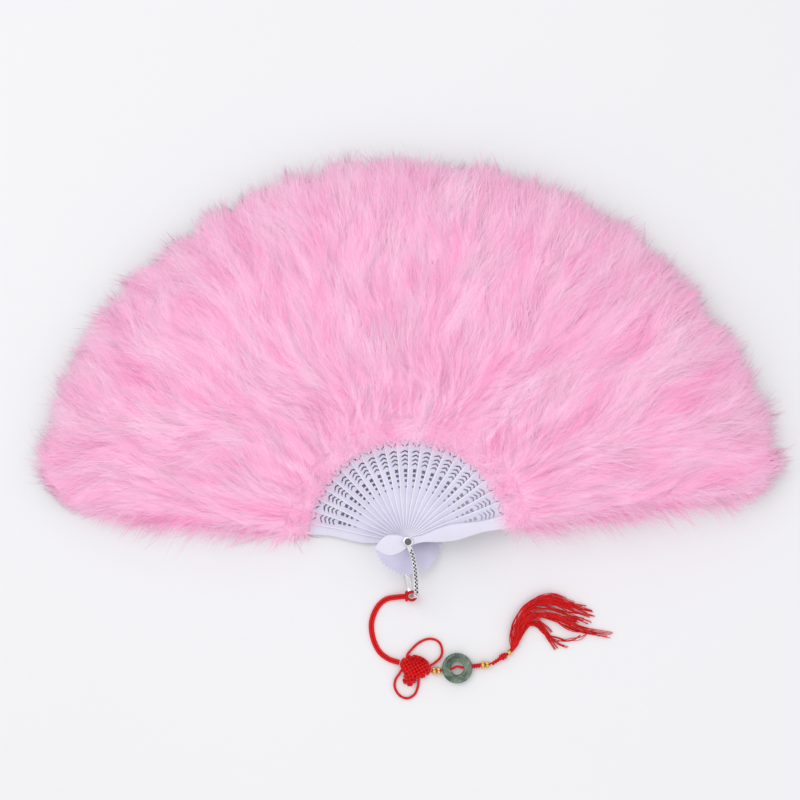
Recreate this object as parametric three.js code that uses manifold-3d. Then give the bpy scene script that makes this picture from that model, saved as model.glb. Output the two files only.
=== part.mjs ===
// A folding fan of pierced plastic sticks with a down plume on each, lying open on its back.
// Lengths are in millimetres. The pivot stands on the origin, +Y runs to the middle plume
// and +Z points up out of the front face.
import * as THREE from "three";
import { mergeVertices } from "three/addons/utils/BufferGeometryUtils.js";
import Module from "manifold-3d";

const wasm = await Module();
wasm.setup();

// Fan
const innerSticks = 21;
const openingDeg = 161;
const fanRadius = 254;
const clearance = 0.3;
const cutOverrun = 2;
const mergeDistance = 0.0005;

// Sticks and guards
const stickThickness = 0.8;
const stickGap = 0.2;
const guardThickness = 1.8;
const guardRounding = 0.35;
const guardStep = 0.25;
const tailLength = 22.5;
const tailWidth = 14;
const neckWidth = 6.4;
const bladeLength = 78;
const bladeWidth = 11;
const shoulderLength = 5;
const ribEnd = 205;
const ribWidth = 3.6;
const ribTipWidth = 1.6;

// Piercing of the inner sticks
const squareGrowth = 0.3;
const smallestSquare = 1.3;
const chevronRise = 1.5;
const chevronSpan = 4.6;
const chevronWidening = 0.5;
const slitWidth = 1.1;
const slantLength = 2.6;
const slantInset = 1.3;
const slantSpan = 7;
const diamondLength = 2.4;
const diamondWidth = 1.6;

// Pivot
const pinRadius = 1.2;
const pinSides = 8;
const boreRadius = 1.5;
const rearCapRadius = 3.6;
const rearCapHeight = 0.8;
const frontCapRadius = 2.1;
const frontCapHeight = 1;
const capSides = 20;

// Bail
const bailHeadingDeg = -84;
const bailReach = 36.6;
const bailWidth = 3.2;
const bailThickness = 1.2;
const bailChamfer = 0.3;
const bailCorner = 3.5;
const bailBow = 2.6;
const bailBarShare = 0.62;
const bailEyeRadius = 3.4;
const bailSteps = 28;

// Plumes
const plumeInner = 66;
const rearPlumeHeight = 24;
const frontPlumeHeight = 38;
const guardSpread = 23;

// Ribbon that links the ribs
const ribbonRadius = 150;
const ribbonWidth = 6;
const ribbonThickness = 0.3;

// Cord, knot and tassel
const cordDiameter = 1.65;
const cordSides = 8;
const strandSpacing = 2;
const hitchHeight = 6.6;
const hitchReach = 3.4;
const hitchSpread = 2.5;
const hitchOffset = 0.5;
const danglingTurnDeg = -2;
const knotX = 4.95;
const knotY = -83.5;
const knotLength = 21.8;
const knotWidth = 15.8;
const knotHeight = 6;
const knotTiltDeg = -16;
const chainHeadingDeg = 7;
const chainLength = 38.8;
const chainHeight = 2.75;
const threadBore = 2.4;
const beadRadius = 2.7;
const beadLength = 5.6;
const beadBallRadius = 1.25;
const beadBalls = 5;
const upperBeadPlace = 3.2;
const lowerBeadPlace = 35.6;
const discPlace = 17;
const discRadius = 10.15;
const discHoleRadius = 4.3;
const discThickness = 4.6;
const discChamfer = 0.9;
const bindingHeadingDeg = 33.5;
const bindingLength = 12.4;
const bindingRadius = 1.4;
const bindingKnotRadius = 2.4;
const ringLength = 2.4;
const ringRadius = 1.95;
const ringGroove = 0.45;
const neckRadius = 0.95;
const lockRadius = 1.25;
const lockTipRadius = 0.5;

// Outline shares: along the length, then across half the width
const tailShares = [[1, 0], [0.84, 0.52], [0.6, 0.96], [0.3, 0.86]];
const stickBladeShares = [[0.12, 0.48], [0.34, 0.72], [0.6, 0.83], [0.78, 1], [0.93, 0.98]];
const guardBladeShares = [
  [0.12, 0.42], [0.25, 0.78], [0.385, 0.99], [0.64, 0.68], [0.885, 0.82], [1, 0.72],
];
const guardPanelShares = [0.2, 0.8];
const squarePlaceShares = [0.462, 0.513, 0.556, 0.597];
const chevronPlaceShares = [0.648, 0.683, 0.718, 0.754];
const slantPlaceShares = [0.798, 0.846];
const diamondPlaceShare = 0.915;

const bailLegShares = [[0.28, 0.8], [0.55, 1.05], [0.8, 0.98], [1, 0.78]];
const bindingShares = [[0, 0], [0.5, 0], [0.6, 1], [0.82, 1], [0.92, 0], [1, 0]];
const ringGrooveShares = [0.4, 0.5, 0.6];

// Plume shares: stations along the plume, then heights, side spread and the tufted outer edge
const stationShares = [0, 0.07, 0.2, 0.55, 0.8, 0.93, 1];
const topShares = [0.84, 0.91, 0.98, 1, 0.92, 0.75, 0.56];
const bottomShares = [0, 0, 0, 0, 0, 0.06, 0.2];
const spreadShares = [0.35, 0.75, 1, 1.05, 1.1, 0.93, 0.6];
const crestShares = [0.93, 1, 0.96, 1, 0.93];
const tuftShares = [
  [0.96, 1, 0.972, 0.99, 0.955], [0.955, 0.985, 0.965, 1, 0.96], [0.97, 1, 0.96, 0.982, 0.95],
];
const tuftPull = 0.5;

// Routes, as points chosen by hand: the doubled cord from the bail to the knot, the two ear
// loops of the knot, and the locks of the tassel, whose first point is the tassel's neck.
const cordRoute = [
  [-3.4, -37, 4.4], [-8, -37.5, 2.5], [-14.1, -38.8, 1.2], [-18.7, -42.2, 0.9],
  [-22.4, -48.2, 0.9], [-24.2, -55, 0.9], [-23.8, -61.7, 0.9], [-22.1, -67.8, 0.9],
  [-18.7, -73.9, 0.95], [-13.3, -78.2, 1.3], [-9.2, -79.8, 2.1], [-5.85, -80.6, 2.9],
];
const upperEarRoute = [
  [0.5, -79.5, 2.6], [-0.6, -76.2, 2.2], [2.1, -72.4, 1.6], [8.2, -67.1, 1.2], [14.9, -65.1, 1.2],
  [20.3, -67.1, 1.2], [22.6, -72.4, 1.2], [21.6, -77.2, 1.6], [17.6, -81, 2.2], [13.4, -83.5, 2.6],
];
const lowerEarRoute = [
  [-3, -83.6, 2.6], [-5.6, -88, 2], [-8.4, -92.6, 1.3], [-8.7, -97.4, 1.2], [-5.3, -102.8, 1.2],
  [-0.6, -104.5, 1.2], [4.2, -102.1, 1.2], [6.5, -96.8, 1.3], [7, -91.5, 2], [6.4, -88, 2.6],
];
const lockRoutes = [
  [
    [69.3, -66.5, 2.6], [69.5, -58.5, 2.6], [73.5, -47, 3], [82, -38, 3.4],
    [92.5, -35.5, 3], [101, -40.5, 2], [111.5, -42.8, 1],
  ],
  [
    [70.2, -66.5, 3.2], [71, -58.5, 3.4], [75, -48.5, 3.8], [83, -40.5, 3.8],
    [93.5, -39, 3], [106, -42.5, 2], [121.4, -45.4, 1],
  ],
  [
    [70.8, -66.5, 2.2], [72.4, -58.5, 2.4], [76.3, -50, 2.6], [84, -43, 2.6],
    [95, -42.6, 2.2], [108, -46, 1.6], [126.3, -51.5, 1],
  ],
  [
    [71.4, -66.5, 3.4], [73.8, -58.5, 3.6], [77.8, -51, 3.8], [85, -46, 3.6],
    [97, -47.5, 2.8], [110, -53.2, 1.8], [124.3, -57.6, 1],
  ],
  [
    [71.9, -66.5, 2.4], [75, -58.5, 2.4], [79.2, -52, 2.4], [86, -49, 2.2],
    [98, -52.5, 1.8], [118, -60.5, 1.2], [144.5, -62.6, 1],
  ],
  [
    [72.4, -66.5, 3], [76.2, -58.5, 3], [80.4, -53.5, 3], [86.5, -52, 2.8],
    [95, -58, 2], [100.5, -66, 1.4], [105.8, -72.4, 1],
  ],
  [
    [72.6, -66.5, 2], [77.2, -58.5, 2], [81.6, -55.4, 2], [86.6, -56, 1.8],
    [91.5, -62, 1.4], [96, -70, 1.2], [102.1, -75.1, 1],
  ],
];
const hitchTurnsDeg = [-115, -75, -35, 0, 35, 75, 115];
const cordSteps = 54;
const earSteps = 13;
const lockSteps = 9;
const lockSides = 5;
const lockRootShare = 0.8;

const paint = (color, roughness, metalness = 0) =>
  new THREE.MeshStandardMaterial({ color, roughness, metalness });
const stickPlastic = paint(0xd2cfe2, 0.35);
const guardPlastic = paint(0xd7d3e3, 0.3);
const down = paint(0xfab3d9, 0.95);
const ribbonSatin = paint(0xf6bcd8, 0.5);
const redSilk = paint(0xb4121c, 0.6);
const silver = paint(0xc9cbd0, 0.25, 1);
const darkSteel = paint(0x4a4a50, 0.4, 1);
const gold = paint(0xe8bd6b, 0.25, 1);
const jade = paint(0x7f9479, 0.2);

const radians = THREE.MathUtils.degToRad;
const lastStick = innerSticks + 1;
const pitchDeg = openingDeg / lastStick;
const halfPitch = radians(pitchDeg) / 2;
const layerPitch = stickThickness + stickGap;

// Heights of the stack on the pin, from the floor up
const rearEyeZ = rearCapHeight + clearance;
const rearGuardZ = rearEyeZ + bailThickness + clearance;
const firstStickZ = rearGuardZ + guardThickness + stickGap;
const frontGuardZ = firstStickZ + innerSticks * layerPitch;
const frontEyeZ = frontGuardZ + guardThickness + clearance;
const frontCapZ = frontEyeZ + bailThickness + clearance;

const isGuard = (k) => k === 0 || k === lastStick;
const stickAngle = (k) => radians(90 + openingDeg / 2 - k * pitchDeg);
const stickTop = (k) => stickBottom(k) + (isGuard(k) ? guardThickness : stickThickness);
const ribbonFloor = (k) => rearGuardZ + guardThickness + k * layerPitch + clearance;

function stickBottom(k) {
  if (k <= 0) return rearGuardZ;
  return k >= lastStick ? frontGuardZ : firstStickZ + (k - 1) * layerPitch;
}

function solidOf(geometry) {
  const plain = geometry.clone();
  plain.deleteAttribute("normal");
  plain.deleteAttribute("uv");
  const merged = mergeVertices(plain, mergeDistance);
  return new wasm.Manifold(new wasm.Mesh({
    numProp: 3,
    vertProperties: merged.attributes.position.array,
    triVerts: new Uint32Array(merged.index.array),
  }));
}

function geometryOf(solid) {
  const mesh = solid.getMesh();
  const geometry = new THREE.BufferGeometry();
  geometry.setAttribute("position", new THREE.BufferAttribute(mesh.vertProperties, 3));
  geometry.setIndex(new THREE.BufferAttribute(mesh.triVerts, 1));
  const flat = geometry.toNonIndexed();
  flat.computeVertexNormals();
  return flat;
}

const joined = (pieces) =>
  geometryOf(pieces.map(solidOf).reduce((whole, piece) => whole.add(piece)));

const cut = (body, tools) =>
  geometryOf(tools.map(solidOf).reduce((rest, tool) => rest.subtract(tool), solidOf(body)));

// Joins closed loops of points one after another and closes both ends with a fan. Each loop
// runs anticlockwise as seen from the last one.
function loft(loops) {
  const count = loops[0].length;
  const points = loops.flat();
  const faces = [];
  const closeEnd = (first, turned) => {
    const centre = new THREE.Vector3();
    for (let i = 0; i < count; i += 1) centre.addScaledVector(points[first + i], 1 / count);
    points.push(centre);
    for (let i = 0; i < count; i += 1) {
      const a = first + i;
      const b = first + ((i + 1) % count);
      faces.push(points.length - 1, turned ? b : a, turned ? a : b);
    }
  };
  for (let s = 0; s + 1 < loops.length; s += 1) {
    for (let i = 0; i < count; i += 1) {
      const a = s * count + i;
      const b = s * count + ((i + 1) % count);
      faces.push(a, b, b + count, a, b + count, a + count);
    }
  }
  closeEnd(0, true);
  closeEnd((loops.length - 1) * count, false);
  const geometry = new THREE.BufferGeometry().setFromPoints(points);
  geometry.setIndex(faces);
  geometry.computeVertexNormals();
  return geometry;
}

function block(fromX, toX, width, fromZ, toZ) {
  const box = new THREE.BoxGeometry(toX - fromX, width, toZ - fromZ);
  return box.translate((fromX + toX) / 2, 0, (fromZ + toZ) / 2);
}

function upright(radius, height, sides) {
  const rod = new THREE.CylinderGeometry(radius, radius, height, sides);
  return rod.rotateX(Math.PI / 2).translate(0, 0, height / 2);
}

const lengthwise = (radius, length, sides) =>
  new THREE.CylinderGeometry(radius, radius, length, sides).rotateZ(-Math.PI / 2);

function roundPath(radius, sides) {
  const corner = (i) => radians((360 * i) / sides);
  const corners = Array.from({ length: sides }, (unused, i) =>
    new THREE.Vector2(radius * Math.cos(corner(i)), radius * Math.sin(corner(i))));
  return corners;
}

function tube(points, diameter, steps) {
  const curve = new THREE.CatmullRomCurve3(points.map((p) => new THREE.Vector3(...p)));
  const section = new THREE.Shape(roundPath(diameter / 2, cordSides));
  return new THREE.ExtrudeGeometry(section, { steps, extrudePath: curve, bevelEnabled: false });
}

// Sticks
function stickOutline(bladeShares) {
  const half = [
    ...tailShares.map(([along, across]) => [-tailLength * along, (tailWidth / 2) * across]),
    [0, neckWidth / 2],
    ...bladeShares.map(([along, across]) => [bladeLength * along, (bladeWidth / 2) * across]),
    [bladeLength + shoulderLength, ribWidth / 2],
    [ribEnd, ribTipWidth / 2],
  ];
  const lower = half.map(([x, y]) => new THREE.Vector2(x, -y));
  const upper = half.slice(1).reverse().map(([x, y]) => new THREE.Vector2(x, y));
  return [...lower, ...upper];
}

const squareHole = (x, size) =>
  [[-size, -size], [size, -size], [size, size], [-size, size]].map(([dx, dy]) => [x + dx / 2, dy / 2]);

const diamondHole = (x) => [
  [x - diamondLength / 2, 0], [x, -diamondWidth / 2], [x + diamondLength / 2, 0], [x, diamondWidth / 2],
];

function chevronHole(x, span) {
  const tip = x + chevronRise;
  return [
    [tip, 0], [x, span / 2], [x - slitWidth, span / 2],
    [tip - slitWidth, 0], [x - slitWidth, -span / 2], [x, -span / 2],
  ];
}

function slantHoles(x) {
  const slit = [
    [x, slantInset / 2], [x + slitWidth, slantInset / 2],
    [x + slitWidth + slantLength, slantSpan / 2], [x + slantLength, slantSpan / 2],
  ];
  return [slit, slit.map(([along, across]) => [along, -across])];
}

function piercing() {
  return [
    ...squarePlaceShares.map((share, i) =>
      squareHole(bladeLength * share, smallestSquare + squareGrowth * i)),
    ...chevronPlaceShares.map((share, i) =>
      chevronHole(bladeLength * share, chevronSpan + chevronWidening * i)),
    ...slantPlaceShares.flatMap((share) => slantHoles(bladeLength * share)),
    diamondHole(bladeLength * diamondPlaceShare),
  ];
}

function prism(corners, height) {
  const shape = new THREE.Shape(corners.map(([x, y]) => new THREE.Vector2(x, y)));
  return new THREE.ExtrudeGeometry(shape, { depth: height, bevelEnabled: false });
}

function innerStick() {
  const plate = new THREE.ExtrudeGeometry(
    new THREE.Shape(stickOutline(stickBladeShares)), { depth: stickThickness, bevelEnabled: false });
  const depth = stickThickness + 2 * cutOverrun;
  const holes = piercing().map((corners) => prism(corners, depth).translate(0, 0, -cutOverrun));
  const bore = upright(boreRadius, depth, pinSides).translate(0, 0, -cutOverrun);
  return cut(plate, [bore, ...holes]);
}

// Only the middle of the blade keeps the full thickness: the tail, which carries the bail's eye,
// and the end that the down covers lie a step lower, on the outer face.
function guard() {
  const shape = new THREE.Shape(stickOutline(guardBladeShares));
  shape.holes.push(new THREE.Path(roundPath(boreRadius + guardRounding, pinSides)));
  const plate = new THREE.ExtrudeGeometry(shape, {
    depth: guardThickness - 2 * guardRounding,
    bevelThickness: guardRounding,
    bevelSize: guardRounding,
    bevelOffset: -guardRounding,
    bevelSegments: 1,
  }).translate(0, 0, guardRounding);
  const [near, far] = guardPanelShares.map((share) => bladeLength * share);
  const relief = (fromX, toX) =>
    block(fromX, toX, tailWidth + cutOverrun, guardThickness - guardStep, guardThickness + cutOverrun);
  return cut(plate, [relief(-tailLength - cutOverrun, near), relief(far, ribEnd + cutOverrun)]);
}

// Plumes
function plumeSide(k, side, x, station) {
  const outer = (k === 0 && side > 0) || (k === lastStick && side < 0);
  if (outer) return side * guardSpread * spreadShares[station];
  return side * (x * Math.tan(halfPitch) - clearance / (2 * Math.cos(halfPitch)));
}

function plumeLoop(k, station) {
  const height = rearPlumeHeight + ((frontPlumeHeight - rearPlumeHeight) * k) / lastStick;
  const tufts = tuftShares[k % tuftShares.length];
  const reach = plumeInner + (fanRadius - plumeInner) * stationShares[station];
  const pull = Math.max(0, (stationShares[station] - tuftPull) / (1 - tuftPull));
  const last = crestShares.length - 1;
  const point = (i, z) => {
    const x = reach * (1 - pull * (1 - tufts[i]));
    const across = (2 * i) / last - 1;
    const left = plumeSide(k, 1, x, station);
    const right = plumeSide(k, -1, x, station);
    return new THREE.Vector3(x, (left + right) / 2 + (across * (left - right)) / 2, z);
  };
  const top = crestShares.map((crest, i) => point(i, height * topShares[station] * crest));
  const low = height * bottomShares[station];
  return [point(0, low), point(last, low), ...top.reverse()];
}

function ribbonPiece(fromAngle, toAngle, steps, margin, floor) {
  const inner = ribbonRadius - ribbonWidth / 2 - margin;
  const outer = ribbonRadius + ribbonWidth / 2 + margin;
  const loops = [];
  for (let i = 0; i <= steps; i += 1) {
    const angle = fromAngle + ((toAngle - fromAngle) * i) / steps;
    const low = floor(angle) - margin;
    const high = floor(angle) + ribbonThickness + margin;
    const corner = (radius, z) =>
      new THREE.Vector3(radius * Math.cos(angle), radius * Math.sin(angle), z);
    loops.push([corner(inner, low), corner(inner, high), corner(outer, high), corner(outer, low)]);
  }
  return loft(loops);
}

function linkingRibbon() {
  const hem = (ribWidth / 2 + clearance) / ribbonRadius;
  const start = stickAngle(lastStick) + hem;
  const end = stickAngle(0) + hem;
  return ribbonPiece(start, end, 2 * lastStick, 0, (angle) =>
    ribbonFloor((stickAngle(0) - angle) / (2 * halfPitch)));
}

function ribbonSlot(k) {
  const reach = halfPitch + cutOverrun / ribbonRadius;
  return ribbonPiece(-reach, reach, 2, clearance, (angle) => ribbonFloor(k - angle / (2 * halfPitch)));
}

function plume(k) {
  const body = loft(stationShares.map((unused, station) => plumeLoop(k, station)));
  const bladePocket = block(
    plumeInner - cutOverrun, bladeLength + shoulderLength + clearance, fanRadius / 2,
    stickBottom(k - 1) - clearance, stickTop(Math.min(k + 1, lastStick)) + clearance,
  );
  const ribPocket = block(
    bladeLength, ribEnd + clearance, ribWidth + 2 * clearance,
    stickBottom(k) - clearance, stickTop(k) + clearance,
  );
  return cut(body, [bladePocket, ribPocket, ribbonSlot(k)]);
}

// Pivot and bail
function bailStrip() {
  const low = rearEyeZ + bailThickness / 2;
  const high = frontEyeZ + bailThickness / 2;
  const bend = (x, y, z) => new THREE.Vector3(x, y, z);
  const start = (bailEyeRadius + boreRadius) / 2;
  const slack = bailCorner * (1 - Math.SQRT1_2);
  const leg = bailLegShares.map(([along, bow]) =>
    bend((bailReach - bailCorner) * along, bailBow * bow, high));
  const side = bailBow * bailBarShare;
  const upper = [
    bend(start, 0, high), ...leg,
    bend(bailReach - slack, side, high - slack), bend(bailReach, side, high - bailCorner),
  ];
  const lower = upper.map((p) => bend(p.x, -p.y, high + low - p.z)).reverse();
  const curve = new THREE.CatmullRomCurve3([...upper, ...lower]);
  const across = bailWidth / 2;
  const deep = bailThickness / 2;
  const section = [
    [-deep, -across + bailChamfer], [-deep + bailChamfer, -across], [deep - bailChamfer, -across],
    [deep, -across + bailChamfer], [deep, across - bailChamfer], [deep - bailChamfer, across],
    [-deep + bailChamfer, across], [-deep, across - bailChamfer],
  ];
  const loops = [];
  for (let i = 0; i <= bailSteps; i += 1) {
    const centre = curve.getPointAt(i / bailSteps);
    const along = curve.getTangentAt(i / bailSteps);
    const sideways = new THREE.Vector3(0, 1, 0).addScaledVector(along, -along.y).normalize();
    const outward = sideways.clone().cross(along);
    loops.push(section.map(([x, y]) =>
      centre.clone().addScaledVector(outward, x).addScaledVector(sideways, y)));
  }
  return loft(loops);
}

function bail() {
  const eye = (z) => {
    const ring = new THREE.Shape(roundPath(bailEyeRadius, capSides));
    ring.holes.push(new THREE.Path(roundPath(boreRadius, capSides)));
    const flat = new THREE.ExtrudeGeometry(ring, { depth: bailThickness, bevelEnabled: false });
    return flat.translate(0, 0, z);
  };
  return joined([bailStrip(), eye(frontEyeZ), eye(rearEyeZ)]);
}

// The bail's end bar leans from one leg to the other, so its place depends on the height.
function bailBarPlace(height) {
  const middle = (rearEyeZ + frontEyeZ + bailThickness) / 2;
  const straightEnd = frontEyeZ + bailThickness / 2 - bailCorner;
  const side = (bailBow * bailBarShare * (height - middle)) / (straightEnd - middle);
  return new THREE.Vector3(bailReach, side, height)
    .applyAxisAngle(new THREE.Vector3(0, 0, 1), radians(bailHeadingDeg));
}

// The strand runs up from the knot, hitches round the bail and comes back beside itself.
function doubledCord() {
  const line = new THREE.CatmullRomCurve3(cordRoute.map((p) => new THREE.Vector3(...p)));
  const count = cordRoute.length * 2;
  const middle = bailBarPlace(hitchHeight);
  middle.x += hitchOffset;
  const beside = (side) => Array.from({ length: count + 1 }, (unused, i) => {
    const along = line.getTangentAt(i / count);
    const out = new THREE.Vector3(-along.y, along.x, 0).normalize();
    return line.getPointAt(i / count).addScaledVector(out, (side * strandSpacing) / 2);
  });
  const hitch = hitchTurnsDeg.map((turn) => new THREE.Vector3(
    hitchReach * Math.cos(radians(turn)), hitchSpread * Math.sin(radians(turn)), 0).add(middle));
  const strand = [...beside(1).reverse(), ...hitch, ...beside(-1)].map((p) => p.toArray());
  return tube(strand, cordDiameter, cordSteps);
}

// Knot, chain and tassel
function knot() {
  const body = new THREE.SphereGeometry(knotHeight / 2, 12, 6);
  body.scale(knotLength / knotHeight, knotWidth / knotHeight, 1);
  body.rotateZ(radians(knotTiltDeg)).translate(knotX, knotY, knotHeight / 2);
  const ears = [upperEarRoute, lowerEarRoute].map((route) => tube(route, cordDiameter, earSteps));
  return joined([body, ...ears]);
}

function beadCluster() {
  const core = lengthwise(beadRadius - beadBallRadius, beadLength - beadBallRadius, 10);
  const balls = [];
  for (const side of [-1, 1]) {
    for (let i = 0; i < beadBalls; i += 1) {
      const angle = radians((360 * (i + (side > 0 ? 1 / 2 : 0))) / beadBalls);
      const out = beadRadius - beadBallRadius;
      const ball = new THREE.SphereGeometry(beadBallRadius, 6, 4);
      ball.translate(
        side * (beadLength / 2 - beadBallRadius), out * Math.cos(angle), out * Math.sin(angle));
      balls.push(ball);
    }
  }
  const cluster = joined([core, ...balls]);
  return cut(cluster, [lengthwise(threadBore / 2, beadLength + cutOverrun, cordSides)]);
}

function jadeDisc() {
  const half = discThickness / 2;
  const profile = [
    [discHoleRadius, -half + discChamfer], [discHoleRadius + discChamfer, -half],
    [discRadius - discChamfer, -half], [discRadius, -half + discChamfer],
    [discRadius, half - discChamfer], [discRadius - discChamfer, half],
    [discHoleRadius + discChamfer, half], [discHoleRadius, half - discChamfer],
    [discHoleRadius, -half + discChamfer],
  ].map(([x, y]) => new THREE.Vector2(x, y));
  const ring = new THREE.LatheGeometry(profile, 24).rotateX(Math.PI / 2);
  return cut(ring, [lengthwise(threadBore / 2, 2 * discRadius + cutOverrun, cordSides)]);
}

function binding() {
  const swell = bindingKnotRadius - bindingRadius;
  const side = bindingShares.map(([along, out]) => [bindingRadius + swell * out, bindingLength * along]);
  const outline = [[0, 0], ...side, [0, bindingLength]].map(([x, y]) => new THREE.Vector2(x, y));
  return new THREE.LatheGeometry(outline, 12).rotateZ(-Math.PI / 2);
}

function ring() {
  const bore = neckRadius + clearance;
  const [near, middle, far] = ringGrooveShares.map((share) => ringLength * share);
  const outline = [
    [bore, 0], [ringRadius, 0], [ringRadius, near], [ringRadius - ringGroove, middle],
    [ringRadius, far], [ringRadius, ringLength], [bore, ringLength], [bore, 0],
  ].map(([x, y]) => new THREE.Vector2(x, y));
  return new THREE.LatheGeometry(outline, 14).rotateZ(-Math.PI / 2);
}

function taperedLock(points, fromRadius, toRadius) {
  const curve = new THREE.CatmullRomCurve3(points);
  const frames = curve.computeFrenetFrames(lockSteps, false);
  const loops = [];
  for (let i = 0; i <= lockSteps; i += 1) {
    const share = i / lockSteps;
    const radius = fromRadius + (toRadius - fromRadius) * share;
    const centre = curve.getPointAt(share);
    loops.push(roundPath(radius, lockSides).map((p) => centre.clone()
      .addScaledVector(frames.normals[i], p.x)
      .addScaledVector(frames.binormals[i], p.y)));
  }
  return loft(loops);
}

function tasselSkirt() {
  const heading = radians(bindingHeadingDeg);
  const along = new THREE.Vector3(Math.cos(heading), Math.sin(heading), 0);
  const start = bindingEnd().addScaledVector(along, clearance);
  const mouth = start.clone().addScaledVector(along, ringLength + clearance);
  const neck = lengthwise(neckRadius, ringLength + clearance, 10).rotateZ(heading);
  const middle = start.clone().lerp(mouth, 1 / 2);
  neck.translate(middle.x, middle.y, middle.z);
  const root = mouth.clone().addScaledVector(along, -neckRadius / 2);
  const bead = new THREE.SphereGeometry(lockRadius, 10, 6);
  bead.translate(mouth.x + neckRadius * along.x, mouth.y + neckRadius * along.y, mouth.z);
  const mouthCentre = root.clone().addScaledVector(along, neckRadius);
  const locks = lockRoutes.map((route) => taperedLock(
    [mouthCentre, ...route.map((p) => new THREE.Vector3(...p))],
    neckRadius * lockRootShare, lockTipRadius));
  return joined([neck, bead, ...locks]);
}

// Places along the tassel
function chainStart() {
  const tilt = radians(knotTiltDeg);
  const reach = knotLength / 2 + clearance;
  return new THREE.Vector3(knotX + reach * Math.cos(tilt), knotY + reach * Math.sin(tilt), chainHeight);
}

function alongChain(distance) {
  const heading = radians(chainHeadingDeg);
  const start = chainStart();
  return new THREE.Vector3(
    start.x + distance * Math.cos(heading), start.y + distance * Math.sin(heading), chainHeight);
}

const bindingStart = () => alongChain(chainLength + 2 * clearance + bindingRadius / 2);

function bindingEnd() {
  const heading = radians(bindingHeadingDeg);
  return bindingStart().add(new THREE.Vector3(
    bindingLength * Math.cos(heading), bindingLength * Math.sin(heading), 0));
}

const fan = new THREE.Group();

// The bail and all that hangs on it lie turned a little about the pivot.
const dangling = new THREE.Group();
dangling.rotation.z = radians(danglingTurnDeg);
fan.add(dangling);

function put(name, geometry, material, parent = fan, place = new THREE.Vector3(), headingDeg = 0) {
  const mesh = new THREE.Mesh(geometry, material);
  mesh.name = name;
  mesh.position.copy(place);
  mesh.rotation.z = radians(headingDeg);
  parent.add(mesh);
}

function addSticks() {
  const inner = innerStick();
  const outer = { 0: guard().rotateX(Math.PI).translate(0, 0, guardThickness), [lastStick]: guard() };
  for (let k = 0; k <= lastStick; k += 1) {
    const arm = new THREE.Group();
    arm.rotation.z = stickAngle(k);
    fan.add(arm);
    const number = String(k).padStart(2, "0");
    const name = k === 0 ? "rear_guard" : k === lastStick ? "front_guard" : `stick_${number}`;
    const plumeName = isGuard(k) ? `${name}_plume` : `plume_${number}`;
    const height = new THREE.Vector3(0, 0, stickBottom(k));
    put(name, outer[k] ?? inner, isGuard(k) ? guardPlastic : stickPlastic, arm, height);
    put(plumeName, plume(k), down, arm);
  }
}

function addPivot() {
  put("rear_rivet_cap", upright(rearCapRadius, rearCapHeight, capSides), darkSteel);
  const pin = upright(pinRadius, frontCapZ - rearCapHeight, pinSides);
  put("pivot_pin", pin, darkSteel, fan, new THREE.Vector3(0, 0, rearCapHeight));
  const cap = upright(frontCapRadius, frontCapHeight, capSides);
  put("front_rivet_cap", cap, darkSteel, fan, new THREE.Vector3(0, 0, frontCapZ));
  put("bail", bail(), silver, dangling, new THREE.Vector3(), bailHeadingDeg);
}

function addTassel() {
  put("red_cord", doubledCord(), redSilk, dangling);
  put("tassel_knot", knot(), redSilk, dangling);
  const thread = lengthwise(cordDiameter / 2, chainLength, cordSides);
  put("tassel_cord", thread, redSilk, dangling, alongChain(chainLength / 2), chainHeadingDeg);
  const bead = beadCluster();
  put("upper_gold_bead", bead, gold, dangling, alongChain(upperBeadPlace), chainHeadingDeg);
  put("jade_disc", jadeDisc(), jade, dangling, alongChain(discPlace), chainHeadingDeg);
  put("lower_gold_bead", bead, gold, dangling, alongChain(lowerBeadPlace), chainHeadingDeg);
  put("cord_binding", binding(), redSilk, dangling, bindingStart(), bindingHeadingDeg);
  const heading = radians(bindingHeadingDeg);
  const ringPlace = bindingEnd().add(
    new THREE.Vector3(Math.cos(heading), Math.sin(heading), 0).multiplyScalar(clearance));
  put("gold_ring", ring(), gold, dangling, ringPlace, bindingHeadingDeg);
  put("tassel_skirt", tasselSkirt(), redSilk, dangling);
}

addSticks();
addPivot();
put("linking_ribbon", linkingRibbon(), ribbonSatin);
addTassel();

export default fan;
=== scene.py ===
"""A folding down fan and its red tassel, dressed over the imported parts.

Sizes are in millimetres until a mesh is shown, which scales it to metres. The pivot stands
on the origin, +Y runs to the middle plume and +Z points up out of the front face.
"""

import math

import bmesh
import bpy
import numpy as np
from mathutils import Matrix, Vector
from mathutils.kdtree import KDTree


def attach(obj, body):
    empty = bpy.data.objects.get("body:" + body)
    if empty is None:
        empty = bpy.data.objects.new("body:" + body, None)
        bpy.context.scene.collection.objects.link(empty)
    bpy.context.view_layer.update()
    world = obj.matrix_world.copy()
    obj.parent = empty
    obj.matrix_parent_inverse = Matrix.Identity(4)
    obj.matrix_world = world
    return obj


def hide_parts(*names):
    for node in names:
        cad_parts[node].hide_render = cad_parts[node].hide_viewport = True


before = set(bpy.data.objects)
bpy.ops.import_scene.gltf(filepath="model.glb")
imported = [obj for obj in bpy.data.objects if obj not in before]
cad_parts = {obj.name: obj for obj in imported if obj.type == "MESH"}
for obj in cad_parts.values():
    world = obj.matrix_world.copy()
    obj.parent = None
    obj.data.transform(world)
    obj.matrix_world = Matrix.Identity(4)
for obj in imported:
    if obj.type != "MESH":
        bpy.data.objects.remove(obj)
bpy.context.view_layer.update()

bl_info = {
    "name": "Folding Down Fan",
    "version": (1, 0, 0),
    "blender": (4, 5, 0),
    "location": "View3D > Sidebar > Fan",
    "description": "Dresses a folding down fan with barbs, plastic, silk and metal",
    "category": "Object",
}

MM = 0.001

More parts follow.
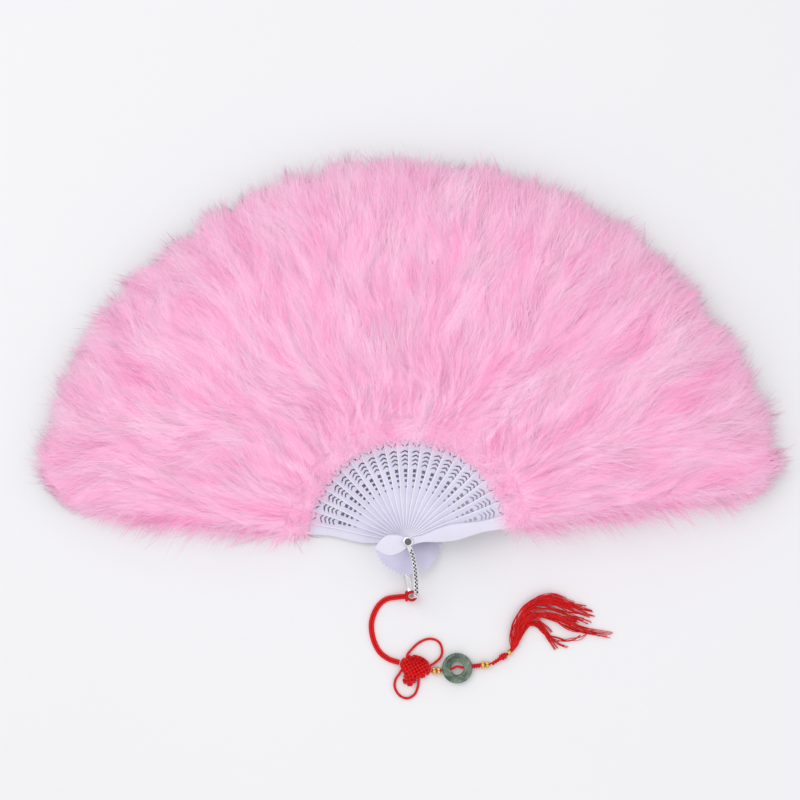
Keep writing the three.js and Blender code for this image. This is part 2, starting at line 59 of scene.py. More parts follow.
# The fan
LAST = 22
OPENING_DEG = 161
FAN_RADIUS = 254
STICK_BASE = 4.6
LAYER_PITCH = 1
STICK_THICKNESS = 0.8
GUARD_THICKNESS = 1.8
REAR_GUARD_Z = 2.6
FRONT_GUARD_Z = 25.6
REAR_EYE_Z = 1.1
FRONT_EYE_Z = 27.7
CLEARANCE = 0.3
TAIL_LENGTH = 22.5
TAIL_WIDTH = 14
NECK_WIDTH = 6.4
BLADE_LENGTH = 78
BLADE_WIDTH = 11
RIB_END = 205
TAIL_SHARES = [(1, 0), (0.84, 0.52), (0.6, 0.96), (0.3, 0.86)]
BLADE_SHARES = [(0.12, 0.48), (0.34, 0.72), (0.6, 0.83), (0.78, 1), (0.93, 0.98)]
GUARD_SHARES = [(0.12, 0.42), (0.25, 0.78), (0.385, 0.99), (0.64, 0.68), (0.885, 0.82), (1, 0.72)]
BORE_RADIUS = 1.85

# The plumes' outline, by station along the plume
PLUME_INNER = 66
REAR_HEIGHT = 24
FRONT_HEIGHT = 38
STATIONS = [0, 0.07, 0.2, 0.55, 0.8, 0.93, 1]
TOP_SHARES = [0.84, 0.91, 0.98, 1, 0.92, 0.75, 0.56]
GUARD_REACH = {0: [4, 6.5, 8.5, 10, 7, 2, 1], 22: [5, 8.5, 10.5, 13, 19, 15, 5]}
REAR_CORNER = (-8, 1.9)
FRONT_CORNER = (1, 1.1)
RIBBON_RADIUS = 150
RIBBON_WIDTH = 6
RIBBON_THICKNESS = 0.3

# The down's soft body, and the cover over it: its span, how far in its edges roll, its mesh
CORE_DEPTH = 6
BODY_END = 215
BODY_PAST_END = 0.6
STICK_ROOM = 0.6
COVER_DEPTH = 3
COVER_THICKNESS = 1.6
COVER_INNER = 66.5
COVER_RADIUS = 245
INNER_ROLL = 9
OUTER_ROLL = 30
COVER_SIDES = 36
COVER_RINGS = 56

# The down's uneven fields: how many waves each has, and the shortest and longest of them
FIELDS = {
    "lean": (9, 30, 100), "ruffle": (9, 9, 26), "swell": (9, 24, 64), "streak": (12, 0.9, 4.5),
    "furrow": (12, 1.1, 4), "lobe": (9, 9, 42),
}
# How far a degree of heading and a millimetre of reach go in the drawn-out fields
STREAK_SCALE = (0.55, 0.03)

# The barbs, and the share of each kind on a plume
BARB_RINGS = 4
BARB_FLATNESS = 0.3
BARB_LIMIT = 266
FACING_STEP = 0.8
FACING_WEIGHT = 2.2
BARB_KINDS = ("top", "under", "tip", "rim", "lip", "under_lip", "wisp", "side", "hem")
DEEP_SHARES = {
    "inner": {"top": 0.12, "under": 0.58, "rim": 0.14, "lip": 0.02, "under_lip": 0.08, "tip": 0.06},
    "guard": {"top": 0.08, "under": 0.52, "rim": 0.1, "lip": 0.04, "under_lip": 0.06,
              "side": 0.08, "hem": 0.12},
}
LIGHT_SHARES = {
    "inner": {"top": 0.47, "tip": 0.18, "rim": 0.13, "lip": 0.13, "wisp": 0.09},
    "guard": {"top": 0.22, "tip": 0.1, "rim": 0.06, "lip": 0.18, "wisp": 0.05, "side": 0.15,
              "hem": 0.24},
}

# The bail and what hangs on it
DANGLING_TURN_DEG = -2
BAIL_HEADING_DEG = -84
BAIL_REACH = 36.6
BAIL_WIDTH = 3.2
BAIL_THICKNESS = 1.2
BAIL_CORNER = 3.5
BAIL_BOW = 2.6
BAIL_EYE_RADIUS = 3.4
PIN_BORE = 1.5
LEG_SHARES = [(0.28, 0.8), (0.55, 1.05), (0.8, 0.98), (1, 0.78)]
BAR_SHARE = 0.62
EYE_ROUNDING = 0.25
# Its plaited relief: lumps on a dark bed, painted shade in the recesses between them, over a strip
# that is thinner than the bail
STRIP_INSET = 0.28
LUMP_SIZE = (1.15, 0.55, 0.5)
LUMP_LEAN_DEG = 40
LUMP_OFFSET = 0.6
LUMP_DEPTH = 0.25
BED_DEPTH = 0.36
BED_MARGIN = 0.35
# The cord, and its hitch round the bail's end bar
CORD_DIAMETER = 1.65
STRAND_DIAMETER = 1.84
STRAND_SPACING = 1.81
CORD_ROUTE = [
    (-3.4, -37, 4.4), (-8, -37.5, 2.5), (-14.1, -38.8, 1.2), (-18.7, -42.2, 0.9),
    (-22.4, -48.2, 0.9), (-24.2, -55, 0.9), (-23.8, -61.7, 0.9), (-22.1, -67.8, 0.9),
    (-18.7, -73.9, 0.95), (-13.3, -78.2, 1.3), (-9.2, -79.8, 2.1), (-5.85, -80.6, 2.9),
]
HITCH_HEIGHT = 6.6
HITCH_RADIUS = 2.85
HITCH_TURNS = (-125, -80, -40, 0, 40, 80, 125)
HITCH_COLLAR = (-0.9, -36.75, 5.6)
COLLAR_SIZE = (0.4, 2.75, 1.85)
COLLAR_RADIUS = 0.9
HITCH_GATE = 0.98
# The knot
KNOT_PLACE = (4.95, -83.5)
KNOT_LENGTH = 21.8
KNOT_WIDTH = 15.8
KNOT_TILT_DEG = -16
# Woven ovals: place, half length, half width, tilt, spacing, rise and floor
KNOT_OVALS = [
    (KNOT_PLACE, KNOT_LENGTH / 2 - 1.3, KNOT_WIDTH / 2 - 1.1, KNOT_TILT_DEG, 2.15, 0.95, 2.3),
    ((1.2, -91.2), 4.6, 4, 60, 2.1, 0.9, 1.9),
]
KNOT_COILS = [((2.9, -79, 4.3), 1.9), ((9.5, -79.6, 4.1), 1.7)]
UPPER_EAR = [
    (0.5, -79.5, 2.6), (-0.6, -76.2, 2.2), (2.1, -72.4, 1.6), (8.2, -67.1, 1.2),
    (14.9, -65.1, 1.2), (20.3, -67.1, 1.2), (22.6, -72.4, 1.2), (21.6, -77.2, 1.6),
    (17.6, -81, 2.2), (13.4, -83.5, 2.6),
]
LOWER_EAR = [
    (-3, -83.6, 2.6), (-5.6, -88, 2), (-8.4, -92.6, 1.3), (-8.7, -97.4, 1.2),
    (-5.3, -102.8, 1.2), (-0.6, -104.5, 1.2), (4.2, -102.1, 1.2), (6.5, -96.8, 1.3),
    (7, -91.5, 2), (6.4, -88, 2.6),
]
# The chain of beads, disc and wound thread, with their distances along it
CHAIN_HEADING_DEG = 7
CHAIN_LENGTH = 38.8
CHAIN_HEIGHT = 2.75
UPPER_BEAD = 3.2
LOWER_BEAD = 35.6
BEAD_BALL_RADIUS = 1.35
BEAD_RADIUS = 2.7
BEAD_LENGTH = 5.6
DISC_PLACE = 17
DISC_RADIUS = 10.15
DISC_HOLE = 4.3
DISC_THICKNESS = 4.6
WINDING_PLACE = 27.2
WINDING_LENGTH = 5
# The binding, the ring and the tassel
BINDING_HEADING_DEG = 33.5
BINDING_LENGTH = 12.4
BINDING_SHARES = [(0, 0), (0.5, 0), (0.6, 1), (0.82, 1), (0.92, 0), (1, 0)]
BINDING_RADIUS = 1.4
BINDING_KNOT_RADIUS = 2.4
RING_LENGTH = 2.4
RING_RADIUS = 1.95
NECK_RADIUS = 0.95
TASSEL_RINGS = 30
LOCKS = [
    [(69.3, -66.5, 2.6), (69.5, -58.5, 2.6), (73.5, -47, 3), (82, -38, 3.4),
     (92.5, -35.5, 3), (101, -40.5, 2), (111.5, -42.8, 1)],
    [(70.2, -66.5, 3.2), (71, -58.5, 3.4), (75, -48.5, 3.8), (83, -40.5, 3.8),
     (93.5, -39, 3), (106, -42.5, 2), (121.4, -45.4, 1)],
    [(70.8, -66.5, 2.2), (72.4, -58.5, 2.4), (76.3, -50, 2.6), (84, -43, 2.6),
     (95, -42.6, 2.2), (108, -46, 1.6), (126.3, -51.5, 1)],
    [(71.4, -66.5, 3.4), (73.8, -58.5, 3.6), (77.8, -51, 3.8), (85, -46, 3.6),
     (97, -47.5, 2.8), (110, -53.2, 1.8), (124.3, -57.6, 1)],
    [(71.9, -66.5, 2.4), (75, -58.5, 2.4), (79.2, -52, 2.4), (86, -49, 2.2),
     (98, -52.5, 1.8), (118, -60.5, 1.2), (144.5, -62.6, 1)],
    [(72.4, -66.5, 3), (76.2, -58.5, 3), (80.4, -53.5, 3), (86.5, -52, 2.8),
     (95, -58, 2), (100.5, -66, 1.4), (105.8, -72.4, 1)],
    [(72.6, -66.5, 2), (77.2, -58.5, 2), (81.6, -55.4, 2), (86.6, -56, 1.8),
     (91.5, -62, 1.4), (96, -70, 1.2), (102.1, -75.1, 1)],
    [(72.4, -66.5, 3), (76.2, -58.5, 3), (80.4, -53.5, 3), (86.8, -52.4, 2.8),
     (90.3, -56.6, 2), (92.6, -64.4, 1.4), (99.5, -67.4, 1.2), (115, -64, 1), (125.5, -53, 1)],
]

# The kinds of silk, each with its threads, their turns and their depth in metres
CORD_SILK = ("cord", 6.0, 64.0, 0.00008)
KNOT_SILK = ("knot", 5.0, 90.0, 0.00008)
THREAD_SILK = ("threads", 3.0, 40.0, 0.00003)

# The camera's aim and the height at which its frame width holds, in metres
VIEW_CENTRE = (-0.00528, 0.09306)
VIEW_HEIGHT = 0.012


# ---- places ----
def arm_angle(k):
    """Heading of stick k, in radians; 0 is the rear guard and LAST the front one."""
    return math.radians(90 + OPENING_DEG / 2 - k * OPENING_DEG / LAST)


def is_guard(k):
    return k in (0, LAST)


def body_of(k):
    return {0: "rear_guard_body", LAST: "front_guard_body"}.get(k, f"stick_{k:02d}_body")


def stick_bottom(k):
    if k <= 0:
        return REAR_GUARD_Z
    return FRONT_GUARD_Z if k >= LAST else STICK_BASE + (k - 1) * LAYER_PITCH


def stick_top(k):
    return stick_bottom(k) + (GUARD_THICKNESS if k <= 0 or k >= LAST else STICK_THICKNESS)


def plume_height(k):
    return REAR_HEIGHT + (FRONT_HEIGHT - REAR_HEIGHT) * k / LAST


def stick_ceiling(k):
    """The lowest level over the sticks that plume k covers."""
    return stick_top(min(k + 1, LAST)) + CLEARANCE + STICK_ROOM


def plume_name(k):
    return {0: "rear_guard_plume", LAST: "front_guard_plume"}.get(k, f"plume_{k:02d}")


def plume_share(x):
    return (x - PLUME_INNER) / (FAN_RADIUS - PLUME_INNER)


def plume_reach(k, x, side):
    """How far plume k reaches to one side at a distance along it."""
    if (k == 0 and side > 0) or (k == LAST and side < 0):
        return np.interp(plume_share(x), STATIONS, GUARD_REACH[k])
    return x * math.tan(math.radians(OPENING_DEG) / LAST / 2)


def reach_beside(k, x, across):
    """How far plume k reaches to the sides that the signs of across give."""
    return np.where(across > 0, plume_reach(k, x, 1), plume_reach(k, x, -1))


def along_arm(angle, along, beyond):
    """The place that lies so far along a rib and so far to its left."""
    return (along * math.cos(angle) - beyond * math.sin(angle),
            along * math.sin(angle) + beyond * math.cos(angle))


def fan_place(x, y):
    """A place's distance and heading, its place among the ribs and how far it lies past the fan.

    The last is square to the nearer guard's rib, and negative inside the fan.
    """
    reach = np.hypot(x, y)
    turn = np.degrees(np.arctan2(y, x))
    turn = np.where(turn < -90, turn + 360, turn)
    rib = (90 + OPENING_DEG / 2 - turn) / (OPENING_DEG / LAST)
    past = np.radians(np.maximum(-rib, rib - LAST) * OPENING_DEG / LAST)
    return reach, turn, rib, reach * np.sin(past)


def corner_cut(rear, past):
    """What a rounded corner of the fan takes off the rim at a distance past its guard's rib."""
    cuts = [steepness * np.maximum(past - start, 0)
            for start, steepness in (FRONT_CORNER, REAR_CORNER)]
    return np.where(rear, cuts[1], cuts[0])


def rim_reach(x, y):
    """A place's distance from the pivot, as if the corners of the fan were not rounded."""
    reach, _, rib, past = fan_place(x, y)
    return reach + corner_cut(rib < LAST / 2, past)


def rolled(height, edge_height, share):
    """A height that rolls over in a round to edge_height as share falls from 1 to 0."""
    left = 1 - np.clip(share, 0, 1)
    return edge_height + (height - edge_height) * (1 - left**2.3) ** 0.45


def level_heading(degrees):
    turn = math.radians(degrees)
    return np.array((math.cos(turn), math.sin(turn), 0))


def chain_start():
    tilt = math.radians(KNOT_TILT_DEG)
    reach = KNOT_LENGTH / 2 + CLEARANCE
    return np.array((KNOT_PLACE[0] + reach * math.cos(tilt),
                     KNOT_PLACE[1] + reach * math.sin(tilt), CHAIN_HEIGHT))


def along_chain(distance):
    return chain_start() + distance * level_heading(CHAIN_HEADING_DEG)


def binding_start():
    return along_chain(CHAIN_LENGTH + 2 * CLEARANCE + BINDING_RADIUS / 2)


def binding_end():
    return binding_start() + BINDING_LENGTH * level_heading(BINDING_HEADING_DEG)


# ---- lines ----
def evenly(line, count):
    """The same line with its points evenly spaced."""
    steps = np.linalg.norm(np.diff(line, axis=0), axis=1)
    along = np.concatenate([[0], np.cumsum(steps)])
    at = np.linspace(0, along[-1], count)
    return np.stack([np.interp(at, along, line[:, i]) for i in range(3)], axis=1)


def smooth_line(points, count):
    """Evenly spaced points on a smooth line through the given ones."""
    p = np.array(points, float)
    p = np.vstack([2 * p[0] - p[1], p, 2 * p[-1] - p[-2]])
    fine = []
    for a, b, c, d in zip(p, p[1:], p[2:], p[3:]):
        t1 = math.sqrt(np.linalg.norm(b - a))
        t2 = t1 + math.sqrt(np.linalg.norm(c - b))
        t3 = t2 + math.sqrt(np.linalg.norm(d - c))
        t = np.linspace(t1, t2, 16, endpoint=False)[:, None]
        ab = (t1 - t) / t1 * a + t / t1 * b
        bc = (t2 - t) / (t2 - t1) * b + (t - t1) / (t2 - t1) * c
        cd = (t3 - t) / (t3 - t2) * c + (t - t2) / (t3 - t2) * d
        near = (t2 - t) / t2 * ab + t / t2 * bc
        far = (t3 - t) / (t3 - t1) * bc + (t - t1) / (t3 - t1) * cd
        fine.append((t2 - t) / (t2 - t1) * near + (t - t1) / (t2 - t1) * far)
    return evenly(np.vstack(fine + [p[-2:-1]]), count)


def unit(vectors):
    return vectors / np.maximum(np.linalg.norm(vectors, axis=-1, keepdims=True), 1e-9)


def beside(line, distance):
    """The line moved sideways on the level."""
    along = unit(np.gradient(line, axis=0))
    out = unit(np.stack([-along[:, 1], along[:, 0], np.zeros(len(line))], axis=1))
    return line + distance * out


def waves(seed, count, shortest, longest):
    """A smooth uneven field over the plane, from -1 to 1 or so."""
    rng = np.random.default_rng(seed)
    turns = rng.uniform(0, 2 * math.pi, count)
    lengths = rng.uniform(shortest, longest, count)
    starts = rng.uniform(0, 2 * math.pi, count)

    def field(x, y):
        total = 0
        for turn, length, start in zip(turns, lengths, starts):
            run = (x * math.cos(turn) + y * math.sin(turn)) * 2 * math.pi / length
            total = total + np.sin(run + start)
        return total / math.sqrt(count)

    return field


def drawn_out(field, turn, reach):
    """An uneven field's value, stretched along the plumes."""
    return field(STREAK_SCALE[0] * turn, STREAK_SCALE[1] * reach)


# ---- meshes ----
def mesh_of(bm, name):
    mesh = bpy.data.meshes.new(name)
    bm.to_mesh(mesh)
    bm.free()
    return mesh


def opened(*meshes):
    """A bmesh of all the meshes, in their order."""
    bm = bmesh.new()
    for mesh in meshes:
        bm.from_mesh(mesh)
    return bm


def rod(sides, rings, pointed=False):
    """A closed rod along +Z from 0 to 1, one unit in radius, with a wrapping UV map.

    It has corners on its X axis only where sides is a multiple of 4.
    """
    bm = bmesh.new()
    bmesh.ops.create_cone(bm, cap_ends=True, segments=sides, radius1=1, radius2=1, depth=1,
                          matrix=Matrix.Translation((0, 0, 0.5)))
    if rings > 2:
        long = [e for e in bm.edges if abs(e.verts[0].co.z - e.verts[1].co.z) > 0.5]
        bmesh.ops.subdivide_edges(bm, edges=long, cuts=rings - 2)
    if pointed:
        tip = [v for v in bm.verts if v.co.z > 0.9999]
        bmesh.ops.pointmerge(bm, verts=tip, merge_co=(0, 0, 1))
    wrap = bm.loops.layers.uv.new("wrap")
    for face in bm.faces:
        turns = [math.atan2(c.vert.co.y, c.vert.co.x) / (2 * math.pi) for c in face.loops]
        crosses = max(turns) - min(turns) > 0.5
        for corner, turn in zip(face.loops, turns):
            corner[wrap].uv = (turn + 1 if crosses and turn < 0 else turn, corner.vert.co.z)
    return mesh_of(bm, "rod")


def copies(mesh, count):
    """Count copies of a mesh in one, each copy's vertices together and in the same order."""
    bm = opened(mesh)
    verts, edges, faces = len(bm.verts), len(bm.edges), len(bm.faces)
    made = 1
    while made < count:
        more = min(made, count - made)
        parts = bm.verts[: more * verts] + bm.edges[: more * edges] + bm.faces[: more * faces]
        bmesh.ops.duplicate(bm, geom=parts)
        made += more
    whole = mesh_of(bm, mesh.name)
    places = read_points(whole).reshape(count, verts, 3)
    if not np.allclose(places, places[0], atol=1e-6):
        raise RuntimeError("the copies of a mesh are not in the order of the first one")
    return whole


def read_points(mesh):
    points = np.zeros(len(mesh.vertices) * 3, np.float32)
    mesh.vertices.foreach_get("co", points)
    return points.reshape(-1, 3).astype(float)


def write_points(mesh, points):
    mesh.vertices.foreach_set("co", np.asarray(points, np.float32).ravel())
    mesh.update()


def write_values(mesh, name, values):
    attribute = mesh.attributes.new(name, "FLOAT", "POINT")
    attribute.data.foreach_set("value", np.asarray(values, np.float32).ravel())


def bend(sheaf, lines, radii, up=None, flat=1):
    """Lays each rod of a sheaf along its own line.

    lines is rods by rings by 3 and radii is rods by rings. A line's sideways direction is
    square to up, one for all or one for each rod, or is carried along it where up is None;
    flat thins the other direction.
    """
    lines = np.asarray(lines, float)
    count, rings = lines.shape[:2]
    template = read_points(sheaf).reshape(count, -1, 3)
    ring = np.rint(template[0, :, 2] * (rings - 1)).astype(int)
    along = unit(np.gradient(lines, axis=1))
    if up is not None:
        side = unit(np.cross(np.broadcast_to(up, (count, 3))[:, None], along))
    else:
        start = np.where(np.abs(along[:, 0, 2:]) < 0.8, [[0.0, 0.0, 1.0]], [[1.0, 0.0, 0.0]])
        side = np.zeros_like(along)
        side[:, 0] = unit(np.cross(start, along[:, 0]))
        for i in range(1, rings):
            last = side[:, i - 1]
            drift = (last * along[:, i]).sum(-1, keepdims=True)
            side[:, i] = unit(last - drift * along[:, i])
    over = np.cross(along, side)
    radius = np.asarray(radii, float)[:, ring, None]
    points = (lines[:, ring] + radius * template[..., :1] * side[:, ring]
              + flat * radius * template[..., 1:2] * over[:, ring])
    write_points(sheaf, points)
    return sheaf


def tubes(lines, radii, sides=10, up=None, flat=1, pointed=False):
    """Closed tubes along lines of as many points each; radii is a number or one each."""
    lines = np.asarray(lines, float)
    if lines.ndim == 2:
        lines = lines[None]
    radii = np.broadcast_to(np.asarray(radii, float), lines.shape[:2])
    one = rod(sides, lines.shape[1], pointed)
    return bend(copies(one, len(lines)), lines, radii, up, flat)


def spun(profile, steps, closed=True):
    """The shape that a profile of (radius, height) points sweeps about +Z."""
    bm = bmesh.new()
    verts = [bm.verts.new((radius, 0, height)) for radius, height in profile]
    pairs = list(zip(verts, verts[1:])) + ([(verts[-1], verts[0])] if closed else [])
    edges = [bm.edges.new(pair) for pair in pairs]
    bmesh.ops.spin(bm, geom=verts + edges, cent=(0, 0, 0), axis=(0, 0, 1), dvec=(0, 0, 0),
                   angle=2 * math.pi, steps=steps, use_merge=True, use_duplicate=False)
    bmesh.ops.remove_doubles(bm, verts=bm.verts[:], dist=1e-4)
    bmesh.ops.recalc_face_normals(bm, faces=bm.faces[:])
    return mesh_of(bm, "spun")


def together(meshes, name):
    """One mesh of several, in their order."""
    return mesh_of(opened(*meshes), name)


def laid(mesh, place, heading_deg):
    """Turns a mesh that stands along +Z to lie on the level along a heading, at a place."""
    turn = Matrix.Rotation(math.radians(heading_deg), 4, "Z")
    mesh.transform(Matrix.Translation(place) @ turn @ Matrix.Rotation(math.pi / 2, 4, "Y"))
    return mesh


def put(name, data):
    """Adds an object to the scene."""
    thing = bpy.data.objects.new(name, data)
    bpy.context.scene.collection.objects.link(thing)
    return thing


def turned(mesh, angle):
    """The mesh, turned about the pivot."""
    mesh.transform(Matrix.Rotation(angle, 4, "Z"))
    return mesh


def show(name, mesh, body, material, slot, *stands_for, dangling=False, sharp_deg=None):
    """Puts a mesh into the scene, on the body that it moves with."""
    if dangling:
        turned(mesh, math.radians(DANGLING_TURN_DEG))
    mesh.transform(Matrix.Scale(MM, 4))
    mesh.polygons.foreach_set("use_smooth", [True] * len(mesh.polygons))
    if sharp_deg is not None:
        mesh.set_sharp_from_angle(angle=math.radians(sharp_deg))
    mesh.materials.clear()
    mesh.materials.append(material)
    piece = put(name, mesh)
    mesh.name = name
    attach(piece, body)
    if stands_for:
        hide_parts(*stands_for)
    return piece


def hang(name, mesh, material, slot, *stands_for):
    """Shows a piece of what hangs on the bail."""
    return show(name, mesh, "tassel_body", material, slot, *stands_for, dangling=True)


# ---- materials ----
def plug(tree, socket, value):
    """Links an input to the output given, or sets it to a plain value."""
    if isinstance(value, bpy.types.NodeSocket):
        tree.links.new(value, socket)
    else:
        socket.default_value = value


def feed(tree, node, **values):
    """Feeds a node's inputs by their names, with _ for a space."""
    for name, value in values.items():
        plug(tree, node.inputs[name.replace("_", " ")], value)
    return node


def add(tree, kind, **values):
    """Adds a node. A capitalised name feeds an input, and any other sets a property."""
    node = tree.nodes.new(kind)
    for name, value in values.items():
        if not name[0].isupper():
            setattr(node, name, value)
    return feed(tree, node, **{name: v for name, v in values.items() if name[0].isupper()})


def sum_of(tree, operation, first, second):
    """A Math node's output."""
    node = add(tree, "ShaderNodeMath", operation=operation)
    for socket, value in zip(node.inputs, (first, second)):
        plug(tree, socket, value)
    return node.outputs[0]


def weighted_sum(tree, *terms):
    """The sum of outputs, each times its weight."""
    total, *others = [sum_of(tree, "MULTIPLY", output, weight) for output, weight in terms]
    for other in others:
        total = sum_of(tree, "ADD", total, other)
    return total


def blend_colours(tree, mask, first, second):
    node = add(tree, "ShaderNodeMix", data_type="RGBA", Factor=mask)
    for socket, value in zip(node.inputs[6:8], (first, second)):
        plug(tree, socket, value if isinstance(value, bpy.types.NodeSocket) else (*value, 1))
    return node.outputs[2]


def ranged(tree, value, low, high, to_low, to_high):
    return add(tree, "ShaderNodeMapRange", clamp=True, Value=value, From_Min=low, From_Max=high,
               To_Min=to_low, To_Max=to_high).outputs["Result"]


def new_group(name, inputs, outputs):
    group = bpy.data.node_groups.new(name, "ShaderNodeTree")
    for title, kind, default in inputs:
        socket = group.interface.new_socket(title, in_out="INPUT", socket_type=kind)
        if default is not None:
            socket.default_value = default
    for title, kind in outputs:
        group.interface.new_socket(title, in_out="OUTPUT", socket_type=kind)
    return group, group.nodes.new("NodeGroupInput"), group.nodes.new("NodeGroupOutput")


def mottle_group():
    """Cloudy uneven patches, as a mask from 0 to 1."""
    group, given, out = new_group(
        "Fan mottle",
        [("Vector", "NodeSocketVector", None), ("Scale", "NodeSocketFloat", 100.0),
         ("Contrast", "NodeSocketFloat", 0.4)],
        [("Mask", "NodeSocketFloat")])
    noise = add(group, "ShaderNodeTexNoise", Detail=3.0, Roughness=0.55,
                Vector=given.outputs["Vector"], Scale=given.outputs["Scale"])
    half = sum_of(group, "MULTIPLY", given.outputs["Contrast"], 0.5)
    feed(group, out, Mask=ranged(
        group, noise.outputs["Fac"], sum_of(group, "SUBTRACT", 0.5, half),
        sum_of(group, "ADD", 0.5, half), 0, 1))
    return group


def grain_group():
    """Fine grain, as a bumped normal."""
    group, given, out = new_group(
        "Fan grain",
        [("Vector", "NodeSocketVector", None), ("Scale", "NodeSocketFloat", 2000.0),
         ("Depth", "NodeSocketFloat", 0.00002)],
        [("Normal", "NodeSocketVector")])
    noise = add(group, "ShaderNodeTexNoise", Detail=2.0, Vector=given.outputs["Vector"],
                Scale=given.outputs["Scale"])
    bump = add(group, "ShaderNodeBump", Strength=1.0, Height=noise.outputs["Fac"],
               Distance=given.outputs["Depth"])
    feed(group, out, Normal=bump.outputs["Normal"])
    return group


def twist_group():
    """Threads that wind round a cord, as a mask and a bumped normal, from its wrap UV map."""
    group, given, out = new_group(
        "Fan twist",
        [("Vector", "NodeSocketVector", None), ("Threads", "NodeSocketFloat", 8.0),
         ("Turns", "NodeSocketFloat", 20.0), ("Depth", "NodeSocketFloat", 0.00006)],
        [("Mask", "NodeSocketFloat"), ("Normal", "NodeSocketVector")])
    parts = add(group, "ShaderNodeSeparateXYZ", Vector=given.outputs["Vector"]).outputs
    around = sum_of(group, "MULTIPLY", parts["X"], given.outputs["Threads"])
    onward = sum_of(group, "MULTIPLY", parts["Y"], given.outputs["Turns"])
    run = sum_of(group, "MULTIPLY", sum_of(group, "ADD", around, onward), 2 * math.pi)
    wave = sum_of(group, "SINE", run, 0.0)
    mask = sum_of(group, "ADD", sum_of(group, "MULTIPLY", wave, 0.5), 0.5)
    bump = add(group, "ShaderNodeBump", Strength=1.0, Height=mask,
               Distance=given.outputs["Depth"])
    feed(group, out, Mask=mask, Normal=bump.outputs["Normal"])
    return group


def placed(tree, title, maker, **values):
    """The outputs of a node group in a material, made the first time that it is used."""
    group = bpy.data.node_groups.get(title) or maker()
    return feed(tree, add(tree, "ShaderNodeGroup", node_tree=group), **values).outputs


def mottled(tree, place, scale, contrast):
    return placed(tree, "Fan mottle", mottle_group, Vector=place, Scale=scale,
                  Contrast=contrast)["Mask"]


def grained(tree, place, scale, depth):
    return placed(tree, "Fan grain", grain_group, Vector=place, Scale=scale,
                  Depth=depth)["Normal"]


def new_finish(name, **constants):
    """A new material, its tree, its shader and its object coordinates."""
    material = bpy.data.materials.new(name)
    material.use_nodes = True
    tree = material.node_tree
    shader = feed(tree, tree.nodes["Principled BSDF"], **constants)
    return material, tree, shader, add(tree, "ShaderNodeTexCoord").outputs["Object"]


def down_finish(name, settings):
    """Soft barbs: deep pink at the root, a painted shade where the down lies deep, pale at the tip,
    streaked along the plume.
    """
    material, tree, shader, place = new_finish(name, Specular_IOR_Level=0.1)
    tone, along = [add(tree, "ShaderNodeAttribute", attribute_name=title).outputs["Fac"]
                   for title in ("tone", "along")]
    # Painted shade: the along gradient darkens the roots, and the tone carries painted shade in the
    # cover's hollows beside real streaks and mottle.
    paler = weighted_sum(tree, (along, 0.45), (tone, 0.55), (mottled(tree, place, 45, 0.5), 0.16))
    colour = blend_colours(tree, ranged(tree, paler, 0.12, 1, 0, 1), settings.shade,
                           settings.colour)
    feed(tree, shader, Base_Color=colour, Roughness=ranged(tree, tone, 0, 1, 0.95, 0.75))
    return material


def plastic_finish(name, colour, shade, roughness, grain):
    """Moulded plastic with faint flow clouding and a fine surface."""
    material, tree, shader, place = new_finish(name, IOR=1.5)
    clouds, rubbed = mottled(tree, place, 60, 0.5), mottled(tree, place, 260, 0.5)
    feed(tree, shader, Base_Color=blend_colours(tree, clouds, shade, colour),
         Roughness=ranged(tree, rubbed, 0, 1, roughness, roughness + 0.16),
         Normal=grained(tree, place, 900, grain))
    return material


def metal_finish(name, colour, tarnish, roughness, grain):
    """Plated metal, a little duller in patches."""
    material, tree, shader, place = new_finish(name, Metallic=1)
    patches = mottled(tree, place, 420, 0.35)
    feed(tree, shader, Base_Color=blend_colours(tree, patches, tarnish, colour),
         Roughness=ranged(tree, patches, 0, 1, roughness + 0.18, roughness),
         Normal=grained(tree, place, 2500, grain))
    return material


def silk_finish(name, colour, shade, threads, turns, depth):
    """Silk with threads that wind along the piece, the crests of its twist painted paler and its
    grooves deeper as painted light and shade, over the silk's own uneven mottle.
    """
    material, tree, shader, place = new_finish(name, Specular_IOR_Level=0.3)
    wrap = add(tree, "ShaderNodeUVMap", uv_map="wrap").outputs["UV"]
    wound = placed(tree, "Fan twist", twist_group, Vector=wrap, Threads=threads, Turns=turns,
                   Depth=depth)
    # The twist mask paints light on the threads' crests and shade in their grooves; the mottle is
    # the silk's own uneven tone.
    crests_lit_and_mottled = weighted_sum(tree, (wound["Mask"], 0.55), (mottled(tree, place, 330, 0.5), 0.45))
    feed(tree, shader, Base_Color=blend_colours(tree, crests_lit_and_mottled, shade, colour),
         Roughness=ranged(tree, wound["Mask"], 0, 1, 0.62, 0.38), Normal=wound["Normal"])
    return material


def stone_finish(name, settings):
    """Cloudy green stone that lets some light through."""
    material, tree, shader, place = new_finish(
        name, Transmission_Weight=0.5, IOR=1.5, Coat_Weight=0.4, Coat_Roughness=0.05)
    clouds, veins = mottled(tree, place, 130, 0.3), mottled(tree, place, 420, 0.45)
    body = blend_colours(tree, clouds, settings.stone_shade, settings.stone)
    pale = ranged(tree, veins, 0.55, 1, 0, 0.35)
    feed(tree, shader, Base_Color=blend_colours(tree, pale, body, settings.stone_vein),
         Roughness=ranged(tree, veins, 0, 1, 0.12, 0.3))
    return material


def satin_finish(name, settings):
    """Woven ribbon with a soft lustre."""
    material, tree, shader, place = new_finish(name, Sheen_Weight=0.3, Sheen_Roughness=0.3)
    weave = add(tree, "ShaderNodeTexWave", Scale=900, Distortion=1, Vector=place).outputs["Fac"]
    bump = add(tree, "ShaderNodeBump", Strength=0.6, Distance=0.00005, Height=weave)
    feed(tree, shader, Base_Color=blend_colours(tree, weave, settings.shade, settings.colour),
         Roughness=ranged(tree, weave, 0, 1, 0.5, 0.35), Normal=bump.outputs["Normal"])
    return material


